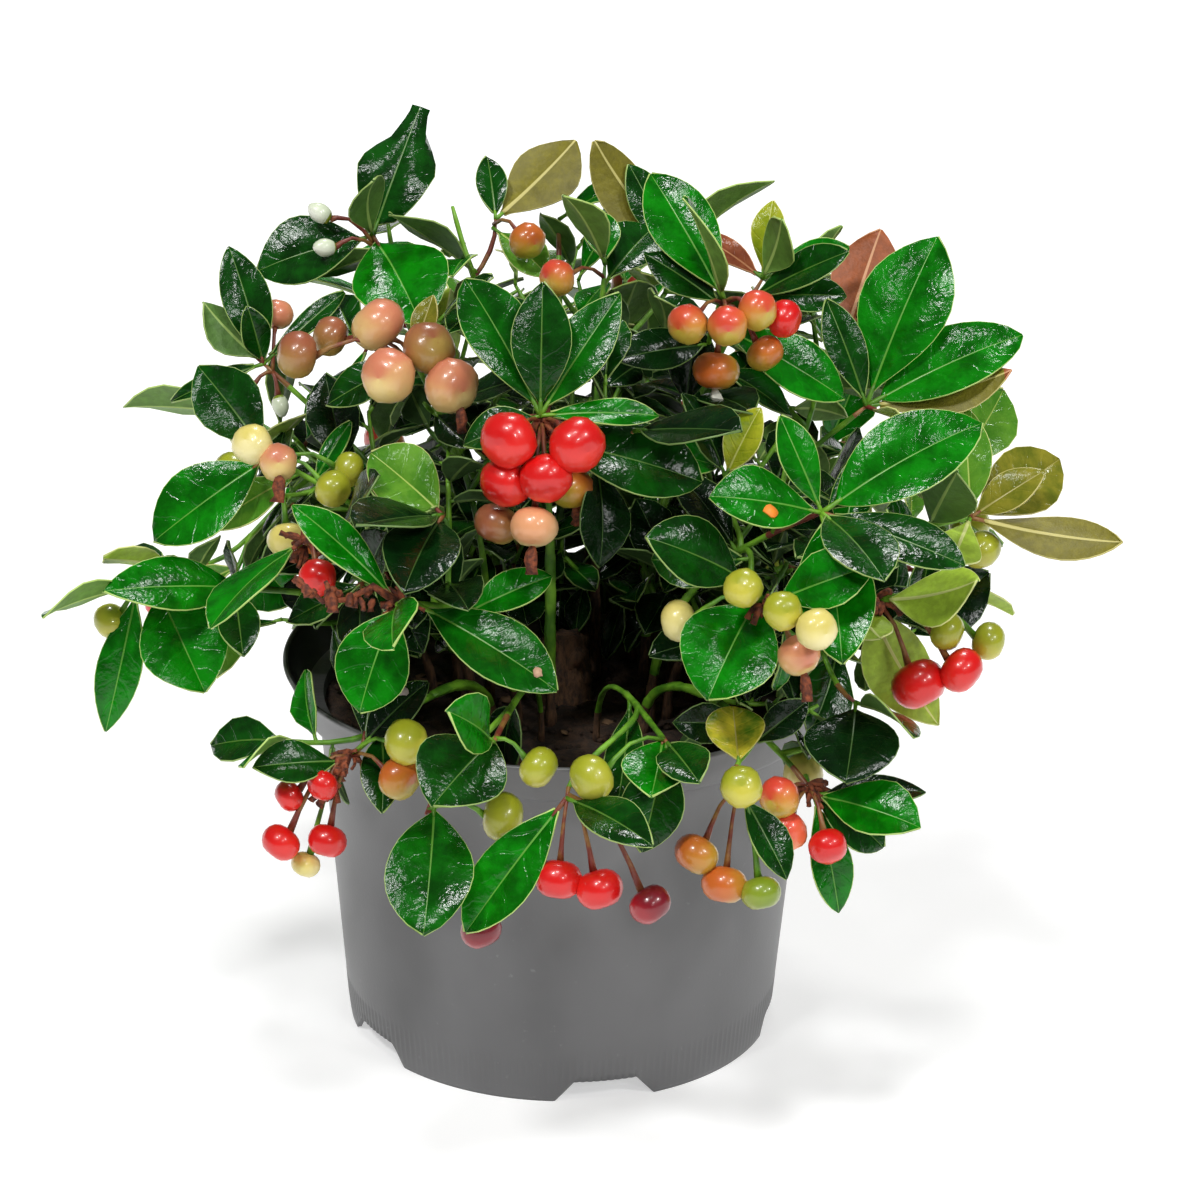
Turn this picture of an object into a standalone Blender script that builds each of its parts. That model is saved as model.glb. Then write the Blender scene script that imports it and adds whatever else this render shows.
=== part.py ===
"""Potted gaultheria: a low evergreen shrub with red and unripe berries, in a grey nursery pot.

Metres, +Z up. The origin is the middle of the pot's underside and the front of the plant faces -Y.
Bearings are in degrees from the front, positive to the right, and leans are from the vertical.
"""

import math
import random
from collections import namedtuple

import bmesh
import bpy
from mathutils import Matrix, Vector
from mathutils.bvhtree import BVHTree

# Pot: a round moulded pot with a flared collar, and a channel under its base
POT_HEIGHT = 0.090
RIM_RADIUS = 0.065
COLLAR_HEIGHT = 0.010
COLLAR_RADIUS = 0.061
NECK_RADIUS = 0.057
BASE_RADIUS = 0.050
WALL = 0.0013
CHANNEL_HEIGHT = 0.0055
CHANNEL_WIDTH = 0.011
TURN_STEPS = 40
NOTCHES = 5
NOTCH_WIDTH = 0.0235
NOTCH_NARROWING = 0.6
NOTCH_FIRST_BEARING = 12.7

# Root ball, which fills the pot up to just under its rim
GAP = 0.0003
SOIL_TOP = 0.080
SOIL_EDGE_DROP = 0.0015
SOIL_FLAT_RADIUS = 0.040

# Woody crown in the middle of the soil, with its stations as shares of its height
CROWN_HEIGHT = 0.016
CROWN_RADIUS = 0.0055
CROWN_STATIONS = ((0.0, 1.35, 0.0), (0.18, 1.05, 0.0), (0.45, 0.9, 0.0004), (0.75, 0.8, 0.0009),
                  (1.0, 0.55, 0.0012))
STUBS = 4
STUB_FIRST_BEARING = 40
STUB_PITCH = 48
STUB_LENGTH = 0.0085
STUB_RADII = (0.0026, 0.0021, 0.0014)

# Stems: feet on a ring in the soil, moved round it until no stem touches another
FOOT_RING = 0.011
FOOT_SPREAD = 0.20
FOOT_TURNS = (0, 8, -8, 16, -16, 24, -24, 34, -34, 44, -44)
FOOT_SHIFTS = (0, -4, 4, -8, 7)
FOOT_PULL = 0.42
TIP_PULL = 0.36
FOOT_THICKNESS = 0.0017
TIP_THICKNESS = 0.0009
TWIG_THICKNESS = 0.0011
FOOT_SHARE = 0.025
BOUGH_SHARE = 0.55
FORK_SHARE = 0.66
TWIG_START = 0.001
BOUGH_POINTS = 4
SHOOT_POINTS = 4
TWIG_POINTS = 4

# Leaves, with stations and breadths in shares of their length
LEAF_THICKNESS = 0.0007
LEAF_BREADTH = 0.56
LOWER_STATION = 0.30
UPPER_STATION = 0.66
LOWER_BREADTH = 0.37
UPPER_BREADTH = 0.50
LEAF_FOLD = 16.0
LEAF_BEND = 22.0
CLEARANCE = 0.00035
ROOT_SHARE = 0.2

# How the leaves stand round a shoot: from its tip down they turn by a fixed step and open out
GOLDEN_TURN = 137.5
FIRST_OPENING = 34
WIDEST_OPENING = 96
OPENING_RATE = 1.6
SHOOT_LEAVES_FROM = 0.61
TWIG_LEAVES_FROM = 0.25
LOWEST_LEAF = 0.85
SHOWING_SHARE = 0.55
POSED_FACING = 20

# How much one leaf differs from the next, in degrees or as a range of shares
OPENING_DRIFT = 8
TURN_DRIFT = 12
ROLL_DRIFT = 18
SMALLEST_GROWTH = 0.80
GROWTH_SWELL = 0.24
GROWTH_FROM = 0.25
LENGTH_RANGE = (0.9, 1.1)
BREADTH_RANGE = (0.88, 1.12)
BEND_RANGE = (0.3, 1.8)
FOLD_RANGE = (0.5, 1.4)
FACE_ALONG = 0.7
FACE_UP = 0.6

# Berries and the stalks that they hang on
BERRY_SWELL = 1.1
BERRY_FLATNESS = 0.92
BERRY_SPREAD = 80
BERRY_FOLLOWING = 0.8
BERRY_PITCH = 15
BERRY_DROOP = 0.6
BERRY_PITCH_RANGE = (-25, 20)
BERRY_RANGE = (0.88, 1.08)
BERRY_PRESS = 0.92
BERRY_FROM = 0.97
BERRY_STEP = 0.05
STALK_THICKNESS = 0.0006
SHORTEST_STALK = 0.005
LONGEST_STALK = 0.011

# The stretches of a stem that are kept clear of the others, as shares of its line
STEM_TEST_STEPS = 12
FREE_TEST_STEPS = 9
FREE_FROM = 0.15
FREE_TO = 0.96

# Space that the crown keeps to, as an ellipsoid standing on the rim
CROWN_REACH = 0.128
CROWN_RISE = 0.118
CROWN_HANG = 0.040

# A rosette is the leafy end of a shoot: its place, the lean of its end, how many leaves and berries
# are dealt by rule, the size of its leaves and berries in millimetres, its posed leaves and its fruit.
Rosette = namedtuple("Rosette", "bearing reach rise lean leaves berries leaf berry posed fruit")

# A posed leaf is one that stands out on the plant: its bearing, its pitch above level, its length in
# millimetres, its breadth as a share of that, its place along the shoot, and its roll about its midrib.
Pose = namedtuple("Pose", "bearing pitch length breadth along roll", defaults=(1.0, 0))

# A posed berry: the bearing and pitch of its stalk, and the stalk's length and its own width in millimetres
Fruit = namedtuple("Fruit", "bearing pitch stalk width")

Leaf = namedtuple("Leaf", "mass root toward face length breadth bend fold")
Berry = namedtuple("Berry", "mass root toward stalk radius")
Guard = namedtuple("Guard", "mass full free low high")


def rosette(bearing, reach, rise, lean, leaves, berries, leaf, berry, *posed, fruit=()):
    return Rosette(bearing, reach, rise, lean, leaves, berries, leaf, berry,
                   [Pose(*row) for row in posed], [Fruit(*row) for row in fruit])


SHOOTS = {
    "top_left": (
        rosette(-130, 60, 88, 30, 2, 0, 27, 9,
                (140, 60, 33, 0.60), (25, -15, 32, 0.75), (-80, -10, 28, 0.70),
                fruit=((-95, 30, 16, 7.5), (-60, 10, 14, 7))),
        rosette(-158, 47, 91, 15, 3, 0, 25, 9,
                (135, 25, 28, 0.60, 1.0, 180), (-170, 50, 17, 0.45), (45, -15, 20, 0.50, 0.95),
                fruit=((30, -20, 14, 8),))),
    "top_back": (
        rosette(-177, 60, 86, 35, 4, 0, 29, 9),),
    "top_middle": (
        rosette(150, 16, 90, 8, 2, 0, 26, 9.5,
                (150, 25, 26, 0.55, 0.95), (-175, 30, 18, 0.50),
                fruit=((-50, 10, 14, 8),)),
        rosette(146, 46, 84, 25, 4, 0, 29, 9,
                (-105, 45, 34, 0.42, 1.0, 180), (-120, 60, 26, 0.40, 0.95))),
    "shoulder_right": (
        rosette(118, 50, 84, 35, 3, 1, 25, 9,
                (165, 75, 18, 0.45), (-105, 35, 20, 0.35), (65, 35, 26, 0.42, 0.95), (115, 15, 24, 0.40),
                (65, 15, 22, 0.50, 0.95)),
        rosette(82, 35, 88, 25, 2, 0, 27, 9.5,
                (-130, 50, 34, 0.48), (-100, 35, 21, 0.50, 0.95), (-55, 5, 24, 0.50, 0.6),
                (80, -25, 34, 0.45, 0.8),
                fruit=((-35, -5, 14, 8.5), (-15, 5, 13, 8.5), (30, 10, 12, 8.5), (50, -5, 14, 8),
                       (-15, -70, 15, 9.5), (55, -60, 14, 8)))),
    "right_high": (
        rosette(94, 68, 60, 50, 3, 0, 29, 9,
                (130, 65, 42, 0.52), (95, 30, 39, 0.46), (-130, 65, 26, 0.38), (90, 10, 34, 0.35, 1.0, 180)),
        rosette(123, 80, 68, 55, 4, 2, 29, 9,
                (160, 40, 28, 0.60, 0.9, 180))),
    "right_middle": (
        rosette(51, 72, 53, 60, 3, 0, 29, 9,
                (100, 35, 40, 0.50), (-65, 20, 27, 0.62), (-105, 65, 23, 0.42), (60, -5, 34, 0.38),
                (10, -35, 36, 0.50), (125, 45, 24, 0.50)),
        rosette(35, 76, 38, 75, 2, 0, 27, 9.5,
                (-30, -30, 27, 0.85, 0.85), (-65, 35, 28, 0.62, 0.65),
                fruit=((-85, -15, 19, 8.5), (-30, 35, 12, 8), (15, 15, 14, 8), (20, -30, 14, 9),
                       (40, -30, 16, 8.5))),
        rosette(66, 39, 50, 20, 1, 0, 20, 9,
                (50, 65, 19, 0.50))),
    "right_low": (
        rosette(61, 80, 30, 80, 0, 0, 27, 11,
                (60, 15, 26, 0.60, 1.0, 180), (20, -15, 18, 0.60, 0.9, 180), (100, -65, 34, 0.50, 0.95, 180),
                fruit=((50, -50, 21, 11.5), (65, -30, 25, 9.5), (75, -25, 26, 8), (75, -25, 18, 8))),
        rosette(50, 84, 12, 100, 2, 0, 27, 9,
                (-5, -15, 24, 0.90))),
    "far_right": (
        rosette(87, 92, 37, 75, 4, 1, 29, 8,
                (80, -10, 35, 0.35, 1.0, 180), (-170, 70, 26, 0.45), (95, 35, 20, 0.50),
                (-120, 50, 20, 0.60), (-20, -20, 20, 0.60, 1.0, 180)),),
    "skirt_right": (
        rosette(40, 86, -5, 125, 2, 0, 25, 9.5,
                (95, 5, 25, 0.30), (85, -25, 20, 0.70), (40, -55, 27, 0.36),
                fruit=((-35, 10, 12, 8.5), (-30, -30, 12, 9), (-175, -5, 10, 8.5), (-5, -35, 14, 8))),
        rosette(26, 88, 2, 110, 2, 0, 24, 9.5,
                (-175, 30, 18, 0.75, 0.7),
                fruit=((0, 25, 12, 8.5), (-55, -50, 17, 9), (-20, -65, 21, 9), (25, -60, 23, 8)))),
    "front_right": (
        rosette(16, 83, 13, 85, 1, 0, 25, 9.5,
                (-5, -10, 19, 0.85, 0.95), (-5, -10, 36, 0.25, 0.6), (-25, -60, 24, 0.60),
                fruit=((-35, -40, 16, 9.5),)),
        rosette(1, 87, 3, 105, 0, 0, 26, 9.5,
                (40, 5, 27, 0.42), (-60, -45, 36, 0.40),
                fruit=((-15, -65, 18, 9.5), (40, -60, 21, 9.5), (60, -45, 29, 8.5)))),
    "front_left": (
        rosette(-10, 82, 13, 90, 2, 0, 28, 9.5,
                (-30, -10, 25, 0.85, 0.95),
                fruit=((75, -30, 11, 8.5),)),
        rosette(-19, 88, -3, 120, 0, 0, 27, 10,
                (0, -30, 32, 0.62, 0.9),
                fruit=((90, -5, 16, 10), (50, -50, 28, 8.5)))),
    "skirt_left": (
        rosette(-36, 80, 1, 105, 0, 0, 25, 8.5,
                (-5, -25, 21, 0.50, 0.8), (-60, 10, 21, 0.52),
                (100, 50, 20, 0.50, 0.9), (170, 50, 24, 0.50, 0.9),
                fruit=((-60, -45, 24, 8), (-30, -60, 19, 8), (-60, -65, 26, 6), (-65, -40, 15, 6.5),
                       (-45, -55, 8, 6.5), (55, -15, 14, 9), (60, 25, 16, 9.5))),),
    "knee_left": (
        rosette(-30, 71, 37, 70, 2, 0, 30, 9,
                (-35, -50, 25, 0.70), (60, -15, 37, 0.45, 0.9), (100, 25, 21, 0.50, 0.6),
                (-105, 45, 31, 0.32)),
        rosette(-32, 50, 50, 45, 4, 0, 29, 9,
                (-15, -5, 30, 0.58), (-105, 40, 21, 0.80))),
    "left_low": (
        rosette(-57, 69, 41, 70, 4, 0, 29, 9, fruit=((10, -5, 16, 8),)),),
    "left_middle": (
        rosette(-79, 68, 52, 60, 3, 0, 27, 9.5,
                (-70, -30, 32, 0.58), (-75, -25, 24, 0.50, 0.9), (125, 55, 16, 0.35, 0.85),
                fruit=((-25, 35, 14, 8.5), (5, 20, 14, 8), (55, -10, 16, 8), (15, -55, 18, 8.5),
                       (90, -5, 16, 7.5))),),
    "far_left": (
        rosette(-80, 98, 22, 85, 2, 1, 29, 8.5,
                (-55, 15, 37, 0.40, 0.7), (-25, -65, 34, 0.32), (35, -40, 27, 0.78, 0.95),
                (10, -30, 20, 0.50, 0.75)),),
    "left_high": (
        rosette(-101, 71, 65, 50, 3, 0, 25, 7.5,
                (-135, 70, 28, 0.42), (-90, -20, 24, 0.25), (-30, 70, 15, 0.50), (110, 40, 25, 0.25),
                fruit=((165, 70, 13, 7.5), (-75, -15, 8, 6.5), (30, -60, 8, 6.5))),),
    "upper_left": (
        rosette(-69, 37, 76, 30, 3, 0, 25, 11.5,
                (135, 65, 15, 0.40), (-80, -25, 22, 0.45),
                fruit=((-105, 45, 13, 11.5), (-25, 10, 14, 11.5), (35, 0, 14, 11.5), (15, 40, 10, 11),
                       (-90, 10, 27, 10), (-90, 10, 20, 8.5))),),
    "centre": (
        rosette(-9, 36, 71, 35, 0, 0, 29, 12,
                (-120, 60, 34, 0.46), (175, 70, 29, 0.48), (115, 55, 32, 0.42), (90, 5, 26, 0.28),
                (85, -15, 36, 0.55, 0.9), (-75, -15, 18, 0.60),
                fruit=((-35, 5, 15, 11.5), (-30, -25, 17, 10.5), (5, -25, 17, 10.5), (30, 0, 16, 11.5),
                       (-5, -40, 24, 9.5), (-50, -60, 24, 9.5), (115, -65, 18, 9))),
        rosette(26, 34, 66, 40, 4, 0, 29, 9,
                (120, -15, 31, 0.35, 0.75))),
    "back_left": (
        rosette(-122, 90, 40, 70, 4, 2, 31, 9.5),
        rosette(-107, 92, 10, 92, 3, 1, 29, 9)),
    "back_left_high": (
        rosette(-146, 74, 66, 45, 6, 2, 31, 9.5),),
    "back_left_low": (
        rosette(-156, 91, 34, 75, 4, 2, 31, 9.5),
        rosette(-140, 90, 4, 95, 3, 2, 29, 9)),
    "back_high": (
        rosette(170, 74, 66, 45, 5, 2, 31, 9.5),),
    "back_low": (
        rosette(168, 92, 32, 75, 4, 2, 31, 9.5),
        rosette(-174, 91, 4, 95, 3, 2, 29, 9)),
    "back_right_high": (
        rosette(144, 78, 58, 50, 6, 1, 31, 9.5),),
    "back_right": (
        rosette(134, 92, 30, 75, 4, 2, 31, 9.5),
        rosette(150, 90, 4, 95, 3, 2, 29, 9)),
    "back_far_right": (
        rosette(108, 94, 34, 75, 4, 1, 31, 9),
        rosette(116, 92, 6, 95, 3, 2, 29, 9)),
    "right_skirt": (
        rosette(85, 78, 8, 92, 4, 1, 24, 9),),
}

# Ways to try a leaf or a berry: turned about its shoot, lifted, and shrunk. A posed leaf has the first few.
TRIES = ((0, 0, 1.0), (10, 0, 1.0), (-10, 0, 1.0), (0, 10, 1.0), (0, -10, 1.0), (20, 0, 0.95),
         (-20, 0, 0.95), (0, 20, 0.95), (0, -20, 0.95), (32, 8, 0.9), (-32, 8, 0.9),
         (32, -12, 0.85), (-32, -12, 0.85), (0, 34, 0.8), (0, -34, 0.8), (46, 16, 0.75), (-46, 16, 0.75))
POSED_TRIES = 7


def heading(bearing, pitch):
    """The unit vector at a bearing from the front and a pitch above level."""
    turn, rise = math.radians(bearing), math.radians(pitch)
    return Vector((math.sin(turn) * math.cos(rise), -math.cos(turn) * math.cos(rise), math.sin(rise)))


def turned_about(vector, axis, degrees):
    return Matrix.Rotation(math.radians(degrees), 3, axis) @ vector


def bezier(points, share):
    a, b, c, d = points
    rest = 1.0 - share
    return a * rest ** 3 + b * 3 * rest * rest * share + c * 3 * rest * share ** 2 + d * share ** 3


def tangent(points, share):
    return (bezier(points, min(share + 0.01, 1.0)) - bezier(points, max(share - 0.01, 0.0))).normalized()


def seam_share(line):
    """Where a shoot's leafy mass begins, a hair above the end of its bough."""
    return BOUGH_SHARE + GAP / (line[3] - line[0]).length


def spot(line, share, start, count):
    """The point at a share of a line, on the straight runs of the tube that is built along it."""
    run = (share - start) / (1.0 - start) * (count - 1)
    step = min(max(int(run), 0), count - 2)
    low = start + (1.0 - start) * step / (count - 1)
    high = start + (1.0 - start) * (step + 1) / (count - 1)
    return bezier(line, low).lerp(bezier(line, high), run - step)


def place(tip):
    """Where a rosette stands."""
    level = heading(tip.bearing, 0) * tip.reach * 0.001
    return level + Vector((0, 0, POT_HEIGHT + tip.rise * 0.001))


def shoot_line(tip, turn, shift):
    """The main line of a shoot: up from its foot in the soil, over, and out to its rosette."""
    end = place(tip)
    foot_reach = FOOT_RING + (FOOT_SPREAD * tip.reach + shift) * 0.001
    foot = heading(tip.bearing + turn, 0) * foot_reach + Vector((0, 0, SOIL_TOP + GAP))
    span = (end - foot).length
    axis = heading(tip.bearing, 90 - tip.lean)
    return foot, foot + Vector((0, 0, FOOT_PULL * span)), end - axis * TIP_PULL * span, end


def fork_line(main, tip):
    """The line of a twig that forks from a shoot's main line to a second rosette."""
    start = bezier(main, FORK_SHARE)
    end = place(tip)
    span = (end - start).length
    axis = heading(tip.bearing, 90 - tip.lean)
    return start, start + tangent(main, FORK_SHARE) * TIP_PULL * span, end - axis * TIP_PULL * span, end


def turned(toward, axis, turn, lift):
    """A direction turned about the shoot's axis, then lifted towards that axis."""
    swung = turned_about(toward, axis, turn)
    hinge = swung.cross(axis)
    if hinge.length < 0.05:
        return swung
    return turned_about(swung, hinge.normalized(), lift).normalized()


def thickness_at(share):
    return FOOT_THICKNESS + (TIP_THICKNESS - FOOT_THICKNESS) * share


def twig_thickness_at(share):
    return TWIG_THICKNESS + (TIP_THICKNESS - TWIG_THICKNESS) * share


def stalk_thickness_at(share):
    return STALK_THICKNESS


# A leaf is a thin blade of eleven corners: two at its root, four at its edges, four at its midrib and its tip
LEAF_FACES = ((0, 6, 2), (0, 6, 3), (2, 4, 8), (2, 8, 6), (3, 6, 8), (3, 8, 5), (4, 10, 8), (5, 8, 10),
              (1, 2, 7), (1, 7, 3), (2, 4, 9), (2, 9, 7), (3, 7, 9), (3, 9, 5), (4, 10, 9), (5, 9, 10),
              (0, 1, 2), (0, 1, 3))


def leaf_corners(leaf, margin=0.0, begin=0.0):
    """The corners of a leaf's solid, grown by a margin and cut short at its root by a share."""
    side = leaf.toward.cross(leaf.face).normalized()
    face = side.cross(leaf.toward).normalized()
    fold = math.radians(leaf.fold)
    bend = math.radians(leaf.bend)
    half = LEAF_THICKNESS / 2 + margin

    def midrib(share):
        dip = bend * max(share - LOWER_STATION, 0.0) / 2
        return leaf.root + (leaf.toward * math.cos(dip) - face * math.sin(dip)) * leaf.length * share

    def edge(share, breadth, hand):
        out = breadth * leaf.breadth * leaf.length + margin
        return midrib(share) + side * hand * out * math.cos(fold) + face * out * math.sin(fold)

    def layer(share, sign):
        return midrib(share) + face * half * sign

    return [layer(begin, 1), layer(begin, -1),
            edge(LOWER_STATION, LOWER_BREADTH, -1), edge(LOWER_STATION, LOWER_BREADTH, 1),
            edge(UPPER_STATION, UPPER_BREADTH, -1), edge(UPPER_STATION, UPPER_BREADTH, 1),
            layer(LOWER_STATION, 1), layer(LOWER_STATION, -1),
            layer(UPPER_STATION, 1), layer(UPPER_STATION, -1),
            midrib(1.0 + margin / leaf.length)]


def berry_centre(berry):
    return berry.root + berry.toward * berry.stalk


def limits(points, margin=0.0005):
    low = [min(point[axis] for point in points) - margin for axis in range(3)]
    high = [max(point[axis] for point in points) + margin for axis in range(3)]
    return low, high


def sleeve(line, start, end, steps, thickness, margin):
    """A six-sided sleeve round a stretch of a line, to test what would touch it."""
    corners, faces = [], []
    for step in range(steps + 1):
        share = start + (end - start) * step / steps
        along = tangent(line, share)
        across = along.orthogonal().normalized() * (thickness(share) + margin)
        corners += [bezier(line, share) + turned_about(across, along, 60 * corner) for corner in range(6)]
    for step in range(steps):
        for corner in range(6):
            low, following = step * 6, (corner + 1) % 6
            faces.append((low + corner, low + following, low + 6 + following, low + 6 + corner))
    return BVHTree.FromPolygons(corners, faces)


def ball(centre, radius):
    shape = bmesh.new()
    bmesh.ops.create_icosphere(shape, subdivisions=2, radius=radius, matrix=Matrix.Translation(centre))
    tree = BVHTree.FromBMesh(shape)
    shape.free()
    return tree


def pot_guard():
    """The pot's wall and the soil as one turned skirt, a millimetre proud."""
    proud = 0.001
    profile = ((0.0, SOIL_TOP + proud), (NECK_RADIUS - 3 * proud, SOIL_TOP + proud),
               (RIM_RADIUS - 3 * proud, POT_HEIGHT + proud), (RIM_RADIUS + proud, POT_HEIGHT + proud),
               (COLLAR_RADIUS + proud, POT_HEIGHT - COLLAR_HEIGHT - proud), (BASE_RADIUS + proud, 0.0))
    skin = bmesh.new()
    corners = [skin.verts.new((radius, 0, height)) for radius, height in profile]
    edges = [skin.edges.new(pair) for pair in zip(corners, corners[1:])]
    bmesh.ops.spin(skin, geom=corners + edges, cent=(0, 0, 0), axis=(0, 0, 1), angle=2 * math.pi,
                   steps=TURN_STEPS, use_merge=True)
    tree = BVHTree.FromBMesh(skin)
    skin.free()
    return tree


def inside_crown(point):
    level = math.hypot(point.x, point.y) / CROWN_REACH
    height = point.z - POT_HEIGHT
    limit = CROWN_RISE if height > 0 else CROWN_HANG
    return level ** 2 + (height / limit) ** 2 < 1.0


class Thicket:
    """What has been placed so far, to keep each new stem, leaf and berry clear of it."""

    def __init__(self):
        self.guards = []
        self.pot = pot_guard()

    def clear(self, guard, raised=None):
        """Whether a guard touches nothing of another mass, and no free part of its own."""
        if (raised or guard.full).overlap(self.pot):
            return False
        for other in self.guards:
            if any(guard.low[axis] > other.high[axis] or guard.high[axis] < other.low[axis]
                   for axis in range(3)):
                continue
            if other.mass == guard.mass and guard.free.overlap(other.free):
                return False
            if other.mass != guard.mass and guard.full.overlap(other.full):
                return False
        return True

    def settle(self, guards):
        """Keep the guards if all of them are clear."""
        found = all(self.clear(guard) for guard in guards)
        if found:
            self.guards += guards
        return found


def face_for(toward, axis):
    """The way a leaf's upper face looks: along its shoot and up, square to the leaf."""
    wish = axis * FACE_ALONG + Vector((0, 0, FACE_UP))
    face = wish - toward * wish.dot(toward)
    if face.length < 0.1:
        face = toward.orthogonal()
    return face.normalized()


def posed_leaf(number, pose, root):
    """A leaf as it stands out on the plant, its upper face to the front unless it is rolled."""
    toward = heading(pose.bearing, pose.pitch)
    face = turned_about(face_for(toward, heading(0, POSED_FACING)), toward, pose.roll)
    return Leaf(number, root, toward, face, pose.length * 0.001, pose.breadth, LEAF_BEND, LEAF_FOLD)


def dealt_leaf(number, tip, draw, phase, index, low, root, axis):
    """The next leaf of a rosette by rule, wider open the lower it stands."""
    opened = (WIDEST_OPENING - FIRST_OPENING) * min(1.0, low * OPENING_RATE)
    opening = math.radians(FIRST_OPENING + opened + draw.uniform(-OPENING_DRIFT, OPENING_DRIFT))
    turn = phase + GOLDEN_TURN * index + draw.uniform(-TURN_DRIFT, TURN_DRIFT)
    growth = SMALLEST_GROWTH + GROWTH_SWELL * math.sin(math.pi * min(1.0, GROWTH_FROM + low))
    length = tip.leaf * 0.001 * growth * draw.uniform(*LENGTH_RANGE)
    breadth = LEAF_BREADTH * draw.uniform(*BREADTH_RANGE)
    across = turned_about(axis.orthogonal().normalized(), axis, turn)
    toward = (axis * math.cos(opening) + across * math.sin(opening)).normalized()
    face = turned_about(face_for(toward, axis), toward, draw.uniform(-ROLL_DRIFT, ROLL_DRIFT))
    bend = LEAF_BEND * draw.uniform(*BEND_RANGE)
    fold = LEAF_FOLD * draw.uniform(*FOLD_RANGE)
    return Leaf(number, root, toward, face, length, breadth, bend, fold)


def dealt_berry(number, tip, draw, root):
    """A berry by rule, on the outer side of its rosette and the lower the more its shoot leans."""
    radius = tip.berry * 0.0005 * draw.uniform(*BERRY_RANGE)
    stalk = radius + draw.uniform(SHORTEST_STALK, LONGEST_STALK)
    bearing = tip.bearing * BERRY_FOLLOWING + draw.uniform(-BERRY_SPREAD, BERRY_SPREAD)
    pitch = BERRY_PITCH - BERRY_DROOP * tip.lean + draw.uniform(*BERRY_PITCH_RANGE)
    return Berry(number, root, heading(bearing, pitch), stalk, radius)


def propose(number, name, lines):
    """What a shoot would like to carry, in passes: posed leaves and fruit, then by rule the showing leaves,
    the berries and the lower leaves."""
    draw = random.Random(1000 + number)
    passes = [[], [], [], [], []]
    for tip, line in zip(SHOOTS[name], lines):
        on_main = line is lines[0]
        seam = seam_share(line) if on_main else TWIG_START
        count = SHOOT_POINTS if on_main else TWIG_POINTS
        first = SHOOT_LEAVES_FROM if on_main else TWIG_LEAVES_FROM
        phase = draw.uniform(0, 360)
        axis = tangent(line, BERRY_FROM)
        for pose in tip.posed:
            root = spot(line, pose.along, seam, count)
            passes[0].append((posed_leaf(number, pose, root), axis))
        for row in tip.fruit:
            root = spot(line, BERRY_FROM, seam, count)
            toward = heading(row.bearing, row.pitch)
            passes[1].append((Berry(number, root, toward, row.stalk * 0.001, row.width * 0.0005), axis))
        for index in range(tip.leaves):
            low = index / max(tip.leaves - 1, 1)
            share = 1.0 - low * (1.0 - first) * LOWEST_LEAF
            here = tangent(line, share)
            leaf = dealt_leaf(number, tip, draw, phase, index, low, spot(line, share, seam, count), here)
            passes[2 if low < SHOWING_SHARE else 4].append((leaf, here))
        for index in range(tip.berries):
            root = spot(line, BERRY_FROM - BERRY_STEP * index, seam, count)
            passes[3].append((dealt_berry(number, tip, draw, root), axis))
    return passes


def try_leaf(thicket, leaf, axis, posed):
    """The leaf in the first way that leaves it clear, if there is one."""
    for turn, lift, scale in TRIES[:POSED_TRIES] if posed else TRIES:
        toward = turned(leaf.toward, axis, turn, lift)
        swing = leaf.toward.rotation_difference(toward).to_matrix()
        tried = leaf._replace(toward=toward, face=swing @ leaf.face, length=leaf.length * scale)
        corners = leaf_corners(tried, CLEARANCE)
        if not posed and not inside_crown(corners[-1]):
            continue
        full = BVHTree.FromPolygons(corners, LEAF_FACES)
        free = BVHTree.FromPolygons(leaf_corners(tried, CLEARANCE, ROOT_SHARE), LEAF_FACES)
        if thicket.settle([Guard(leaf.mass, full, free, *limits(corners))]):
            return tried
    return None


def try_berry(thicket, berry, axis):
    """The berry in the first way that leaves it and its stalk clear, if there is one."""
    for turn, lift, scale in TRIES:
        tried = berry._replace(toward=turned(berry.toward, axis, turn, lift), stalk=berry.stalk / scale)
        centre = berry_centre(tried)
        if not inside_crown(centre):
            continue
        corner = Vector((berry.radius, berry.radius, berry.radius))
        fruit = ball(centre, berry.radius * BERRY_SWELL + CLEARANCE)
        pressed = ball(centre, berry.radius * BERRY_PRESS)
        line = (berry.root, berry.root, centre, centre)
        full = sleeve(line, 0.05, 0.9, 2, stalk_thickness_at, CLEARANCE)
        free = sleeve(line, 0.45, 0.8, 1, stalk_thickness_at, CLEARANCE)
        guards = [Guard(berry.mass, fruit, pressed, *limits([centre - corner, centre + corner])),
                  Guard(berry.mass, full, free, *limits([berry.root, centre], STALK_THICKNESS))]
        if thicket.settle(guards):
            return tried
    return None


def stand(thicket, number, name):
    """The lines of a shoot, its foot moved round the soil until no stem touches another."""
    tips = SHOOTS[name]
    for turn, shift in ((turn, shift) for turn in FOOT_TURNS for shift in FOOT_SHIFTS):
        main = shoot_line(tips[0], turn, shift)
        lines = [main] + [fork_line(main, tip) for tip in tips[1:]]
        guards = []
        for line in lines:
            full = sleeve(line, 0.0, 1.0, STEM_TEST_STEPS, thickness_at, CLEARANCE)
            free = sleeve(line, FREE_FROM, FREE_TO, FREE_TEST_STEPS, thickness_at, 0.0)
            span = limits([bezier(line, step / 10) for step in range(11)], 2 * FOOT_THICKNESS)
            guards.append(Guard(number, full, free, *span))
        if all(thicket.clear(guard, raised=guard.free) for guard in guards):
            break
    thicket.guards += guards
    return lines


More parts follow.
